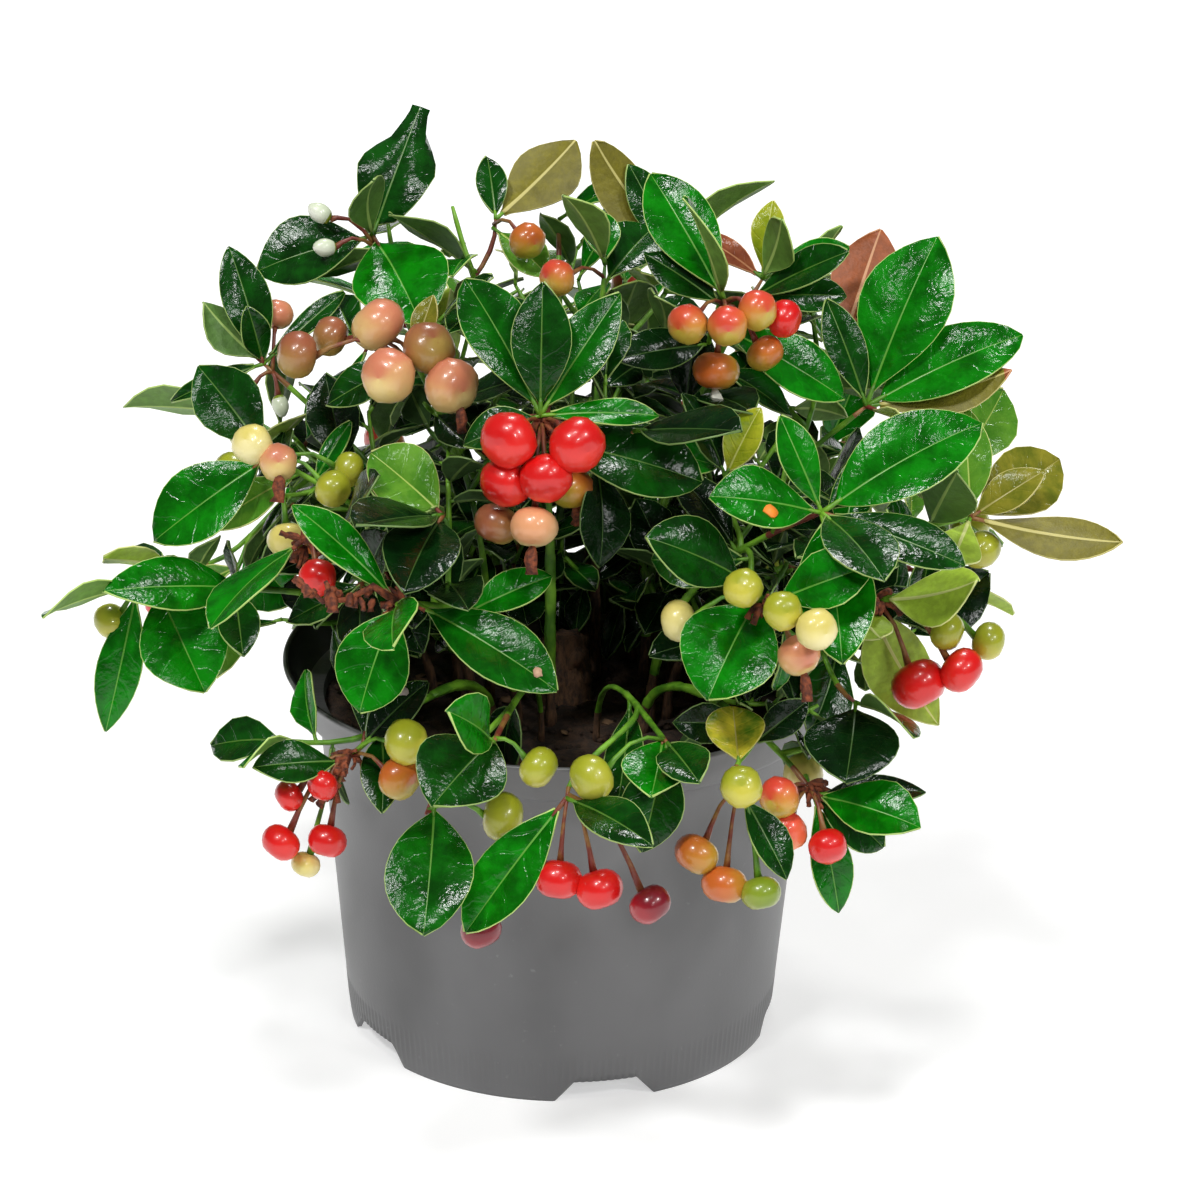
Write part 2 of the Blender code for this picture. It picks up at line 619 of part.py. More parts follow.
def grow():
    """The lines, leaves and berries of every shoot, none of them touching another shoot."""
    thicket = Thicket()
    lines = {name: stand(thicket, number, name) for number, name in enumerate(SHOOTS)}
    proposals = {name: propose(number, name, lines[name]) for number, name in enumerate(SHOOTS)}
    leaves = {name: [] for name in SHOOTS}
    berries = {name: [] for name in SHOOTS}
    for turn in range(5):
        for name in SHOOTS:
            for item, axis in proposals[name][turn]:
                if isinstance(item, Leaf):
                    found, kept = try_leaf(thicket, item, axis, posed=turn == 0), leaves[name]
                else:
                    found, kept = try_berry(thicket, item, axis), berries[name]
                if found is not None:
                    kept.append(found)
    return lines, leaves, berries


def material(name, colour, roughness, metallic=0.0):
    made = bpy.data.materials.new(name)
    made.use_nodes = True
    shader = made.node_tree.nodes["Principled BSDF"]
    shader.inputs["Base Color"].default_value = (*colour, 1.0)
    shader.inputs["Roughness"].default_value = roughness
    shader.inputs["Metallic"].default_value = metallic
    made.diffuse_color = (*colour, 1.0)
    return made


def add_object(name, mesh, collection, finish):
    made = bpy.data.objects.new(name, mesh)
    if finish is not None:
        mesh.materials.append(finish)
    collection.objects.link(made)
    return made


def mesh_from(shape, name):
    bmesh.ops.recalc_face_normals(shape, faces=shape.faces)
    mesh = bpy.data.meshes.new(name)
    shape.to_mesh(mesh)
    shape.free()
    return mesh


def turned_solid(name, profile, collection, finish):
    """A solid turned about Z from a profile that runs down its outer side first."""
    mesh = bpy.data.meshes.new(name)
    edges = [(index, index + 1) for index in range(len(profile) - 1)]
    mesh.from_pydata([(radius, 0, height) for radius, height in profile], edges, [])
    made = add_object(name, mesh, collection, finish)
    screw = made.modifiers.new("Turn", "SCREW")
    screw.steps = screw.render_steps = TURN_STEPS
    screw.use_merge_vertices = True
    screw.merge_threshold = 0.00001
    return made


def apply_modifiers(made):
    view = bpy.context.evaluated_depsgraph_get()
    mesh = bpy.data.meshes.new_from_object(made.evaluated_get(view))
    made.modifiers.clear()
    old = made.data
    made.data = mesh
    mesh.name = old.name
    bpy.data.meshes.remove(old)


def join_all(host, members, helpers):
    """Join a host with every member by one union, then drop the members."""
    cluster = bpy.data.collections.new(host.name + "_members")
    helpers.children.link(cluster)
    for member in members:
        cluster.objects.link(member)
    union = host.modifiers.new("Join", "BOOLEAN")
    union.operation = "UNION"
    union.operand_type = "COLLECTION"
    union.collection = cluster
    union.solver = "MANIFOLD"
    apply_modifiers(host)
    for member in members:
        mesh = member.data
        bpy.data.objects.remove(member)
        bpy.data.meshes.remove(mesh)
    bpy.data.collections.remove(cluster)


def tube(name, points, radii, sides, collection, finish):
    """A tapered tube along points, as a mesh with its caps welded on."""
    curve = bpy.data.curves.new(name, "CURVE")
    curve.dimensions = "3D"
    curve.bevel_depth = 1.0
    curve.bevel_resolution = (sides - 4) // 2
    curve.use_fill_caps = True
    spline = curve.splines.new("POLY")
    spline.points.add(len(points) - 1)
    for point, place_at, radius in zip(spline.points, points, radii):
        point.co = (*place_at, 1.0)
        point.radius = radius
    bent = bpy.data.objects.new(name + "_curve", curve)
    collection.objects.link(bent)
    bpy.context.view_layer.update()
    view = bpy.context.evaluated_depsgraph_get()
    mesh = bpy.data.meshes.new_from_object(bent.evaluated_get(view))
    place_in_world = bent.matrix_world.copy()
    bpy.data.objects.remove(bent)
    bpy.data.curves.remove(curve)
    shape = bmesh.new()
    shape.from_mesh(mesh)
    bmesh.ops.remove_doubles(shape, verts=shape.verts, dist=0.000005)
    bmesh.ops.recalc_face_normals(shape, faces=shape.faces)
    shape.to_mesh(mesh)
    shape.free()
    mesh.name = name
    mesh.materials.clear()
    made = add_object(name, mesh, collection, finish)
    made.matrix_world = place_in_world
    return made


def line_tube(name, line, start, end, count, thickness, sides, collection, finish):
    """A tube along a stretch of a line. One that stands on the soil starts level, by a short first run."""
    shares = [start + (end - start) * step / (count - 1) for step in range(count)]
    if start == 0.0:
        shares.insert(1, FOOT_SHARE)
    points = [bezier(line, share) for share in shares]
    return tube(name, points, [thickness(share) for share in shares], sides, collection, finish)


def build_pot(parts, cutters):
    collar_base = POT_HEIGHT - COLLAR_HEIGHT
    channel_out = BASE_RADIUS - WALL
    channel_in = channel_out - CHANNEL_WIDTH
    floor_top = CHANNEL_HEIGHT + WALL
    profile = ((RIM_RADIUS, POT_HEIGHT), (COLLAR_RADIUS, collar_base), (NECK_RADIUS, collar_base),
               (BASE_RADIUS, 0.0), (channel_out, 0.0), (channel_out, CHANNEL_HEIGHT),
               (channel_in, CHANNEL_HEIGHT), (channel_in, 0.0), (0.0, 0.0), (0.0, floor_top),
               (channel_out, floor_top), (NECK_RADIUS - WALL, collar_base + WALL),
               (COLLAR_RADIUS - WALL, collar_base + WALL), (RIM_RADIUS - WALL, POT_HEIGHT),
               (RIM_RADIUS, POT_HEIGHT))
    pot = turned_solid("pot", profile, parts, material("pot_grey", (0.16, 0.16, 0.165), 0.45))
    for number in range(NOTCHES):
        cutter = build_notch(number, cutters)
        cut = pot.modifiers.new(cutter.name, "BOOLEAN")
        cut.object = cutter


def build_notch(number, cutters):
    """A block, narrower at its top, that cuts one of the drain notches out of the pot's foot."""
    below, top = -0.002, CHANNEL_HEIGHT - GAP
    shape = bmesh.new()
    bmesh.ops.create_cube(shape, size=1.0)
    for corner in shape.verts:
        upper = corner.co.z > 0
        corner.co.x *= NOTCH_WIDTH * NOTCH_NARROWING if upper else NOTCH_WIDTH
        corner.co.y *= 4 * WALL
        corner.co.z = top if upper else below
    turn = Matrix.Rotation(math.radians(NOTCH_FIRST_BEARING + number * 360 / NOTCHES), 4, 'Z')
    bmesh.ops.transform(shape, matrix=turn @ Matrix.Translation((0, -BASE_RADIUS, 0)), verts=shape.verts)
    cutter = add_object(f"notch_{number + 1}", mesh_from(shape, "notch"), cutters, None)
    cutter.hide_render = True
    cutter.display_type = "WIRE"
    return cutter


def build_soil(parts):
    floor_top = CHANNEL_HEIGHT + WALL + GAP
    wall_inside = NECK_RADIUS - WALL - 3 * GAP
    base_inside = BASE_RADIUS - WALL - 2 * GAP
    profile = ((0.0, SOIL_TOP), (SOIL_FLAT_RADIUS, SOIL_TOP), (wall_inside, SOIL_TOP - SOIL_EDGE_DROP),
               (base_inside, floor_top), (0.0, floor_top))
    turned_solid("root_ball", profile, parts, material("peat", (0.035, 0.024, 0.016), 0.95))


def build_crown(parts, helpers):
    """A short woody stump with a few stubs, flared where it meets the soil."""
    finish = material("crown_wood", (0.12, 0.065, 0.035), 0.85)
    foot = Vector((0, 0, SOIL_TOP + GAP))
    points = [foot + Vector((drift, 0, CROWN_HEIGHT * height)) for height, flare, drift in CROWN_STATIONS]
    radii = [CROWN_RADIUS * flare for height, flare, drift in CROWN_STATIONS]
    host = tube("crown", points, radii, 8, parts, finish)
    stubs = []
    for number in range(STUBS):
        toward = heading(STUB_FIRST_BEARING + number * 360 / STUBS, STUB_PITCH) * STUB_LENGTH
        base = foot + Vector((0, 0, CROWN_HEIGHT * (0.30 + 0.06 * number)))
        bend = Vector((0, 0, STUB_LENGTH * 0.14))
        points = [base, base + toward * 0.6, base + toward + bend]
        stubs.append(tube(f"stub_{number}", points, STUB_RADII, 6, parts, finish))
    join_all(host, stubs, helpers)


def build_leaf(leaf, collection, finish):
    shape = bmesh.new()
    corners = [shape.verts.new(corner) for corner in leaf_corners(leaf)]
    for face in LEAF_FACES:
        shape.faces.new([corners[index] for index in face])
    return add_object("leaf", mesh_from(shape, "leaf"), collection, finish)


def build_berry(berry, collection, finish, stalk_finish):
    turn = berry.toward.to_track_quat('Z', 'Y').to_matrix().to_4x4()
    flat = Matrix.Diagonal((1, 1, BERRY_FLATNESS, 1))
    shape = bmesh.new()
    bmesh.ops.create_icosphere(shape, subdivisions=1, radius=berry.radius * BERRY_SWELL,
                               matrix=Matrix.Translation(berry_centre(berry)) @ turn @ flat)
    fruit = add_object("berry", mesh_from(shape, "berry"), collection, finish)
    reach = berry.stalk - berry.radius * 0.4
    middle = Matrix.Translation(berry.root + berry.toward * reach / 2)
    stalk = bmesh.new()
    bmesh.ops.create_cone(stalk, cap_ends=True, cap_tris=True, segments=3, radius1=STALK_THICKNESS,
                          radius2=STALK_THICKNESS, depth=reach, matrix=middle @ turn)
    return fruit, add_object("stalk", mesh_from(stalk, "stalk"), collection, stalk_finish)


def build_shoot(name, lines, leaves, berries, parts, helpers, finishes):
    """One bough, and above it the mass of twigs, leaves and berries that it carries."""
    main = lines[0]
    line_tube("stem_" + name, main, 0.0, BOUGH_SHARE, BOUGH_POINTS, thickness_at, 6, parts, finishes["stem"])
    host = line_tube("leaves_" + name, main, seam_share(main), 1.0, SHOOT_POINTS, thickness_at, 4, parts,
                     finishes["leaf"])
    members = [line_tube("twig", line, TWIG_START, 1.0, TWIG_POINTS, twig_thickness_at, 4, parts,
                         finishes["stem"]) for line in lines[1:]]
    members += [build_leaf(leaf, parts, finishes["leaf"]) for leaf in leaves]
    for berry in berries:
        members += build_berry(berry, parts, finishes["berry"], finishes["stalk"])
    for member in members:
        parts.objects.unlink(member)
    join_all(host, members, helpers)


def main():
    for old in list(bpy.data.objects):
        bpy.data.objects.remove(old)
    scene = bpy.context.scene.collection
    parts = bpy.data.collections.new("potted_gaultheria")
    cutters = bpy.data.collections.new("cutters")
    scene.children.link(parts)
    scene.children.link(cutters)
    build_pot(parts, cutters)
    build_soil(parts)
    build_crown(parts, cutters)
    finishes = {"leaf": material("leaf_green", (0.02, 0.13, 0.02), 0.3),
                "stem": material("stem_green", (0.16, 0.22, 0.05), 0.5),
                "stalk": material("stalk_red", (0.28, 0.09, 0.05), 0.5),
                "berry": material("berry_red", (0.75, 0.07, 0.05), 0.3)}
    lines, leaves, berries = grow()
    for name in SHOOTS:
        build_shoot(name, lines[name], leaves[name], berries[name], parts, cutters, finishes)
    print("leaves", sum(map(len, leaves.values())), "berries", sum(map(len, berries.values())))


if __name__ == "__main__":
    main()
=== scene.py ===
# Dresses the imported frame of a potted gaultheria: a low leafy shrub with berries, in a grey nursery pot.
# Metres, +Z up, the front towards -Y. Bearings are degrees from the front, positive to the right.
import math
import random
from collections import namedtuple

import bmesh
import bpy
from mathutils import Matrix, Vector, noise
from mathutils.bvhtree import BVHTree


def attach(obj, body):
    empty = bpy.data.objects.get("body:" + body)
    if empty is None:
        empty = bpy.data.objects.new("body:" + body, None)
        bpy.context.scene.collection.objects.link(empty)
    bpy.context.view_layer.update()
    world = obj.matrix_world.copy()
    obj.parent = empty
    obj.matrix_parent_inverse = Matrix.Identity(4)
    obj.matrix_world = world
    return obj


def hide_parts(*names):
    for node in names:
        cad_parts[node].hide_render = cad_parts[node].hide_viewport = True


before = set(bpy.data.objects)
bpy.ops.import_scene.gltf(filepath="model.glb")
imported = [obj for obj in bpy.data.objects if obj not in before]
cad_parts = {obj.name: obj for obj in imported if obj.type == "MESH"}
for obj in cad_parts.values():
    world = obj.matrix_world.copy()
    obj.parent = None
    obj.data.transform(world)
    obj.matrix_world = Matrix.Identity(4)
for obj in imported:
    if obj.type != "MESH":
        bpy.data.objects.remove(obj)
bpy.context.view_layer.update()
print("frame loaded:", len(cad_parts), "nodes")

up = Vector((0, 0, 1))
mm = 0.001


# Shader maths in plain Python: a Wire is an output socket that can be added, taken away and multiplied
class Wire:
    def __init__(self, finish, socket):
        self.finish = finish
        self.socket = socket

    def maths(self, operation, first, second=0.0):
        return self.finish.node("ShaderNodeMath", {"operation": operation}, {0: first, 1: second})

    def __add__(self, other):
        return self.maths("ADD", self, other)

    def __radd__(self, other):
        return self.maths("ADD", other, self)

    def __sub__(self, other):
        return self.maths("SUBTRACT", self, other)

    def __rsub__(self, other):
        return self.maths("SUBTRACT", other, self)

    def __mul__(self, other):
        return self.maths("MULTIPLY", self, other)

    def __rmul__(self, other):
        return self.maths("MULTIPLY", other, self)

    def sine(self):
        return self.maths("SINE", self)

    def size(self):
        return self.maths("ABSOLUTE", self)

    def part(self, axis):
        return self.finish.node("ShaderNodeSeparateXYZ", {}, {0: self}, axis)

    def ramp(self, low, high):
        return self.finish.node("ShaderNodeMapRange", {"interpolation_type": "SMOOTHSTEP"},
                                {0: self, 1: low, 2: high, 3: 0.0, 4: 1.0})


# A finish is one material on the Principled shader, with what never varies set on the sockets themselves
class Finish:
    def __init__(self, name, colour, roughness, **fixed):
        self.material = bpy.data.materials.new(name)
        self.material.use_nodes = True
        self.tree = self.material.node_tree
        self.shader = self.tree.nodes["Principled BSDF"]
        self.shader.inputs["Base Color"].default_value = (*colour, 1.0)
        self.shader.inputs["Roughness"].default_value = roughness
        for key, value in fixed.items():
            self.shader.inputs[key.replace("_", " ").title().replace("Ior", "IOR")].default_value = value
        self.material.diffuse_color = (*colour, 1.0)

    def node(self, kind, settings, sockets, output=0):
        made = self.tree.nodes.new(kind)
        for key, value in settings.items():
            setattr(made, key, value)
        for key, value in sockets.items():
            self.feed(made.inputs[key], value)
        return Wire(self, made.outputs[output])

    def feed(self, socket, value):
        if isinstance(value, Wire):
            self.tree.links.new(value.socket, socket)
        else:
            socket.default_value = value

    def place(self):
        return self.node("ShaderNodeTexCoord", {}, {}, "Object")

    def uv(self):
        return self.node("ShaderNodeTexCoord", {}, {}, "UV")

    def grain(self, scale, detail=3.0, roughness=0.55, where=None):
        sockets = {"Vector": where or self.place(), "Scale": scale, "Detail": detail, "Roughness": roughness}
        return self.node("ShaderNodeTexNoise", {}, sockets, "Fac")

    def stretched(self, scales):
        return self.node("ShaderNodeMapping", {}, {"Vector": self.place(), "Scale": scales})

    def blendOf(self, mask, first, second):
        one, other = (value if isinstance(value, Wire) else (*value, 1.0) for value in (first, second))
        return self.node("ShaderNodeMix", {"data_type": "RGBA"}, {0: mask, 6: one, 7: other}, 2)

    def colour(self, value):
        self.feed(self.shader.inputs["Base Color"], value)

    def gloss(self, value):
        self.feed(self.shader.inputs["Roughness"], value)

    def relief(self, height, strength, distance):
        sockets = {"Height": height, "Strength": strength, "Distance": distance}
        self.feed(self.shader.inputs["Normal"], self.node("ShaderNodeBump", {}, sockets, "Normal"))


# Colours as the eye reads them, 0 to 255, turned into the linear light that the shader takes
def tone(red, green, blue):
    return tuple(((value / 255 + 0.055) / 1.055) ** 2.4 if value > 10 else value / (255 * 12.92)
                 for value in (red, green, blue))


def tones(*colours):
    return [tone(*colour) for colour in colours]


# The growing rule of the CAD solids, written again so that each leaf and berry stands where its solid is
potSizes = dict(height=0.090, rim=0.065, collarHeight=0.010, collar=0.061, neck=0.057, base=0.050,
                wall=0.0013, channelHeight=0.0055, channelWidth=0.011, notches=5, notchWidth=0.0235,
                notchTop=0.6, firstNotch=12.7, soilTop=0.080, gap=0.0003, guard=0.001, guardSteps=40)
stemSizes = dict(ring=0.011, spread=0.20, turns=(0, 8, -8, 16, -16, 24, -24, 34, -34, 44, -44),
                 shifts=(0, -4, 4, -8, 7), footPull=0.42, tipPull=0.36, foot=0.0017, tip=0.0009, twig=0.0011,
                 bough=0.55, fork=0.66, twigStart=0.001, points=4)
leafSizes = dict(thickness=0.0007, breadth=0.56, lower=0.30, upper=0.66, lowerBreadth=0.37, upperBreadth=0.50,
                 fold=16.0, bend=22.0, clearance=0.00035, rootShare=0.2, goldenTurn=137.5, openings=(34, 96),
                 shootFrom=0.61, twigFrom=0.25, span=0.85, showing=0.55, posedFacing=20)
berrySizes = dict(swell=1.1, press=0.92, flatness=0.92, stalk=0.0006, along=0.97, step=0.05)
crownSpace = dict(reach=0.128, rise=0.118, hang=0.040)

# How far dealt leaves and berries vary, in degrees or as shares, and a berry's stalk beyond its radius
leafVariety = dict(opening=(-8, 8), turn=(-12, 12), length=(0.9, 1.1), breadth=(0.88, 1.12), roll=(-18, 18),
                   bend=(0.3, 1.8), fold=(0.5, 1.4))
berryVariety = dict(width=(0.88, 1.08), stalk=(0.005, 0.011), bearing=(-80, 80), pitch=(-25, 20))

# Stretches of a line that feel for neighbours, as start, end and steps; the free ones leave out the root
stretches = dict(stem=(0.0, 1.0, 12), freeStem=(0.15, 0.96, 9), stalk=(0.05, 0.9, 2),
                 freeStalk=(0.45, 0.8, 1), fineTwig=(0.2, 1.0, 3))

Rosette = namedtuple("Rosette", "bearing reach rise lean leaves berries leaf berry posed fruit ripeness")
Pose = namedtuple("Pose", "bearing pitch length breadth tint along roll", defaults=(1.0, 0))
Fruit = namedtuple("Fruit", "bearing pitch stalk width ripeness")
Leaf = namedtuple("Leaf", "mass root toward face length breadth bend fold tint rows")
Berry = namedtuple("Berry", "mass root toward stalk radius ripeness")
Guard = namedtuple("Guard", "mass full free low high")


def rosette(bearing, reach, rise, lean, leaves, berries, leaf, berry, *posed, fruit=(), ripe="mixed"):
    return Rosette(bearing, reach, rise, lean, leaves, berries, leaf, berry,
                   [Pose(*row) for row in posed], [Fruit(*row) for row in fruit], ripe)


# Shoots by name, each with its main tip first and its forks after, in degrees and millimetres. Each tip gives
# its leaves and berries to deal, then its posed leaves, its posed fruit and the ripeness of its dealt berries
# a leaf posed with the dark tint carries painted shade, for a leaf that stands in shade
shoots = {
    "top_left": (
        rosette(-130, 60, 88, 30, 2, 0, 27, 9, (140, 60, 33, 0.60, "deep"), (25, -15, 32, 0.75, "bright"),
                (-80, -10, 28, 0.70, "deep"),
                fruit=((-95, 30, 16, 7.5, "bud"), (-60, 10, 14, 7, "bud"))),
        rosette(-158, 47, 91, 15, 3, 0, 25, 9, (135, 25, 28, 0.60, "olive", 1.0, 180),
                (-170, 50, 17, 0.45, "deep"), (45, -15, 20, 0.50, "light", 0.95),
                fruit=((30, -20, 14, 8, "orange"),))),
    "top_back": (
        rosette(-177, 60, 86, 35, 4, 0, 29, 9),),
    "top_middle": (
        rosette(150, 16, 90, 8, 2, 0, 26, 9.5, (150, 25, 26, 0.55, "deep", 0.95),
                (-175, 30, 18, 0.50, "bright"),
                fruit=((-50, 10, 14, 8, "blush"),)),
        rosette(146, 46, 84, 25, 4, 0, 29, 9, (-105, 45, 34, 0.42, "olive", 1.0, 180),
                (-120, 60, 26, 0.40, "deep", 0.95))),
    "shoulder_right": (
        rosette(118, 50, 84, 35, 3, 1, 25, 9, (165, 75, 18, 0.45, "young"), (-105, 35, 20, 0.35, "bronze"),
                (65, 35, 26, 0.42, "deep", 0.95), (115, 15, 24, 0.40, "bright"),
                (65, 15, 22, 0.50, "deep", 0.95), ripe="blush"),
        rosette(82, 35, 88, 25, 2, 0, 27, 9.5, (-130, 50, 34, 0.48, "bright"),
                (-100, 35, 21, 0.50, "deep", 0.95), (-55, 5, 24, 0.50, "dark", 0.6),
                (80, -25, 34, 0.45, "bright", 0.8),
                fruit=((-35, -5, 14, 8.5, "blush"), (-15, 5, 13, 8.5, "blush"), (30, 10, 12, 8.5, "blush"),
                       (50, -5, 14, 8, "red"), (-15, -70, 15, 9.5, "orange"), (55, -60, 14, 8, "orange")))),
    "right_high": (
        rosette(94, 68, 60, 50, 3, 0, 29, 9, (130, 65, 42, 0.52, "bright"), (95, 30, 39, 0.46, "bright"),
                (-130, 65, 26, 0.38, "deep"), (90, 10, 34, 0.35, "olive", 1.0, 180), ripe="red"),
        rosette(123, 80, 68, 55, 4, 2, 29, 9, (160, 40, 28, 0.60, "bronze", 0.9, 180), ripe="red")),
    "right_middle": (
        rosette(51, 72, 53, 60, 3, 0, 29, 9, (100, 35, 40, 0.50, "bright"), (-65, 20, 27, 0.62, "bright"),
                (-105, 65, 23, 0.42, "bright"), (60, -5, 34, 0.38, "deep"), (10, -35, 36, 0.50, "bright"),
                (125, 45, 24, 0.50, "deep")),
        rosette(35, 76, 38, 75, 2, 0, 27, 9.5, (-30, -30, 27, 0.85, "bright", 0.85),
                (-65, 35, 28, 0.62, "deep", 0.65),
                fruit=((-85, -15, 19, 8.5, "pale"), (-30, 35, 12, 8, "yellow"), (15, 15, 14, 8, "yellow"),
                       (20, -30, 14, 9, "peach"), (40, -30, 16, 8.5, "pale"))),
        rosette(66, 39, 50, 20, 1, 0, 20, 9, (50, 65, 19, 0.50, "young"))),
    "right_low": (
        rosette(61, 80, 30, 80, 0, 0, 27, 11, (60, 15, 26, 0.60, "light", 1.0, 180),
                (20, -15, 18, 0.60, "light", 0.9, 180), (100, -65, 34, 0.50, "light", 0.95, 180),
                fruit=((50, -50, 21, 11.5, "red"), (65, -30, 25, 9.5, "red"), (75, -25, 26, 8, "yellow"),
                       (75, -25, 18, 8, "yellow"))),
        rosette(50, 84, 12, 100, 2, 0, 27, 9, (-5, -15, 24, 0.90, "dark"))),
    "far_right": (
        rosette(87, 92, 37, 75, 4, 1, 29, 8, (80, -10, 35, 0.35, "olive", 1.0, 180),
                (-170, 70, 26, 0.45, "light"), (95, 35, 20, 0.50, "olive"), (-120, 50, 20, 0.60, "deep"),
                (-20, -20, 20, 0.60, "light", 1.0, 180), ripe="unripe"),),
    "skirt_right": (
        rosette(40, 86, -5, 125, 2, 0, 25, 9.5, (95, 5, 25, 0.30, "dark"), (85, -25, 20, 0.70, "deep"),
                (40, -55, 27, 0.36, "bright"),
                fruit=((-35, 10, 12, 8.5, "blush"), (-30, -30, 12, 9, "turning"),
                       (-175, -5, 10, 8.5, "pale"), (-5, -35, 14, 8, "red"))),
        rosette(26, 88, 2, 110, 2, 0, 24, 9.5, (-175, 30, 18, 0.75, "spotted", 0.7),
                fruit=((0, 25, 12, 8.5, "yellow"), (-55, -50, 17, 9, "orange"), (-20, -65, 21, 9, "orange"),
                       (25, -60, 23, 8, "green")))),
    "front_right": (
        rosette(16, 83, 13, 85, 1, 0, 25, 9.5, (-5, -10, 19, 0.85, "bright", 0.95),
                (-5, -10, 36, 0.25, "deep", 0.6), (-25, -60, 24, 0.60, "deep"),
                fruit=((-35, -40, 16, 9.5, "yellow"),)),
        rosette(1, 87, 3, 105, 0, 0, 26, 9.5, (40, 5, 27, 0.42, "deep"), (-60, -45, 36, 0.40, "bright"),
                fruit=((-15, -65, 18, 9.5, "red"), (40, -60, 21, 9.5, "red"),
                       (60, -45, 29, 8.5, "darkRed")))),
    "front_left": (
        rosette(-10, 82, 13, 90, 2, 0, 28, 9.5, (-30, -10, 25, 0.85, "deep", 0.95),
                fruit=((75, -30, 11, 8.5, "yellow"),)),
        rosette(-19, 88, -3, 120, 0, 0, 27, 10, (0, -30, 32, 0.62, "mid", 0.9),
                fruit=((90, -5, 16, 10, "yellow"), (50, -50, 28, 8.5, "darkRed")))),
    "skirt_left": (
        rosette(-36, 80, 1, 105, 0, 0, 25, 8.5, (-5, -25, 21, 0.50, "deep", 0.8),
                (-60, 10, 21, 0.52, "deep"), (100, 50, 20, 0.50, "dark", 0.9),
                (170, 50, 24, 0.50, "dark", 0.9),
                fruit=((-60, -45, 24, 8, "red"), (-30, -60, 19, 8, "red"), (-60, -65, 26, 6, "pale"),
                       (-65, -40, 15, 6.5, "red"), (-45, -55, 8, 6.5, "red"), (55, -15, 14, 9, "orange"),
                       (60, 25, 16, 9.5, "yellow"))),),
    "knee_left": (
        rosette(-30, 71, 37, 70, 2, 0, 30, 9, (-35, -50, 25, 0.70, "bright"),
                (60, -15, 37, 0.45, "mid", 0.9), (100, 25, 21, 0.50, "bright", 0.6),
                (-105, 45, 31, 0.32, "bright")),
        rosette(-32, 50, 50, 45, 4, 0, 29, 9, (-15, -5, 30, 0.58, "dark"), (-105, 40, 21, 0.80, "light"))),
    "left_low": (
        rosette(-57, 69, 41, 70, 4, 0, 29, 9, fruit=((10, -5, 16, 8, "red"),)),),
    "left_middle": (
        rosette(-79, 68, 52, 60, 3, 0, 27, 9.5, (-70, -30, 32, 0.58, "bright"),
                (-75, -25, 24, 0.50, "light", 0.9), (125, 55, 16, 0.35, "bright", 0.85),
                fruit=((-25, 35, 14, 8.5, "pale"), (5, 20, 14, 8, "peach"), (55, -10, 16, 8, "yellow"),
                       (15, -55, 18, 8.5, "pale"), (90, -5, 16, 7.5, "yellow"))),),
    "far_left": (
        rosette(-80, 98, 22, 85, 2, 1, 29, 8.5, (-55, 15, 37, 0.40, "bright", 0.7),
                (-25, -65, 34, 0.32, "bright"), (35, -40, 27, 0.78, "bright", 0.95),
                (10, -30, 20, 0.50, "deep", 0.75), ripe="unripe"),),
    "left_high": (
        rosette(-101, 71, 65, 50, 3, 0, 25, 7.5, (-135, 70, 28, 0.42, "deep"), (-90, -20, 24, 0.25, "deep"),
                (-30, 70, 15, 0.50, "deep"), (110, 40, 25, 0.25, "deep"),
                fruit=((165, 70, 13, 7.5, "peach"), (-75, -15, 8, 6.5, "bud"), (30, -60, 8, 6.5, "bud"))),),
    "upper_left": (
        rosette(-69, 37, 76, 30, 3, 0, 25, 11.5, (135, 65, 15, 0.40, "olive"), (-80, -25, 22, 0.45, "deep"),
                fruit=((-105, 45, 13, 11.5, "peach"), (-25, 10, 14, 11.5, "peach"),
                       (35, 0, 14, 11.5, "peach"), (15, 40, 10, 11, "brown"), (-90, 10, 27, 10, "brown"),
                       (-90, 10, 20, 8.5, "brown"))),),
    "centre": (
        rosette(-9, 36, 71, 35, 0, 0, 29, 12, (-120, 60, 34, 0.46, "mid"), (175, 70, 29, 0.48, "deep"),
                (115, 55, 32, 0.42, "mid"), (90, 5, 26, 0.28, "bright"), (85, -15, 36, 0.55, "deep", 0.9),
                (-75, -15, 18, 0.60, "deep"),
                fruit=((-35, 5, 15, 11.5, "red"), (-30, -25, 17, 10.5, "red"), (5, -25, 17, 10.5, "red"),
                       (30, 0, 16, 11.5, "red"), (-5, -40, 24, 9.5, "cream"), (-50, -60, 24, 9.5, "brown"),
                       (115, -65, 18, 9, "orange"))),
        rosette(26, 34, 66, 40, 4, 0, 29, 9, (120, -15, 31, 0.35, "bright", 0.75))),
    "back_left": (
        rosette(-122, 90, 40, 70, 4, 2, 31, 9.5),
        rosette(-107, 92, 10, 92, 3, 1, 29, 9)),
    "back_left_high": (
        rosette(-146, 74, 66, 45, 6, 2, 31, 9.5, ripe="red"),),
    "back_left_low": (
        rosette(-156, 91, 34, 75, 4, 2, 31, 9.5, ripe="turning"),
        rosette(-140, 90, 4, 95, 3, 2, 29, 9)),
    "back_high": (
        rosette(170, 74, 66, 45, 5, 2, 31, 9.5, ripe="blush"),),
    "back_low": (
        rosette(168, 92, 32, 75, 4, 2, 31, 9.5, ripe="red"),
        rosette(-174, 91, 4, 95, 3, 2, 29, 9, ripe="unripe")),
    "back_right_high": (
        rosette(144, 78, 58, 50, 6, 1, 31, 9.5, ripe="turning"),),
    "back_right": (
        rosette(134, 92, 30, 75, 4, 2, 31, 9.5, ripe="red"),
        rosette(150, 90, 4, 95, 3, 2, 29, 9)),
    "back_far_right": (
        rosette(108, 94, 34, 75, 4, 1, 31, 9),
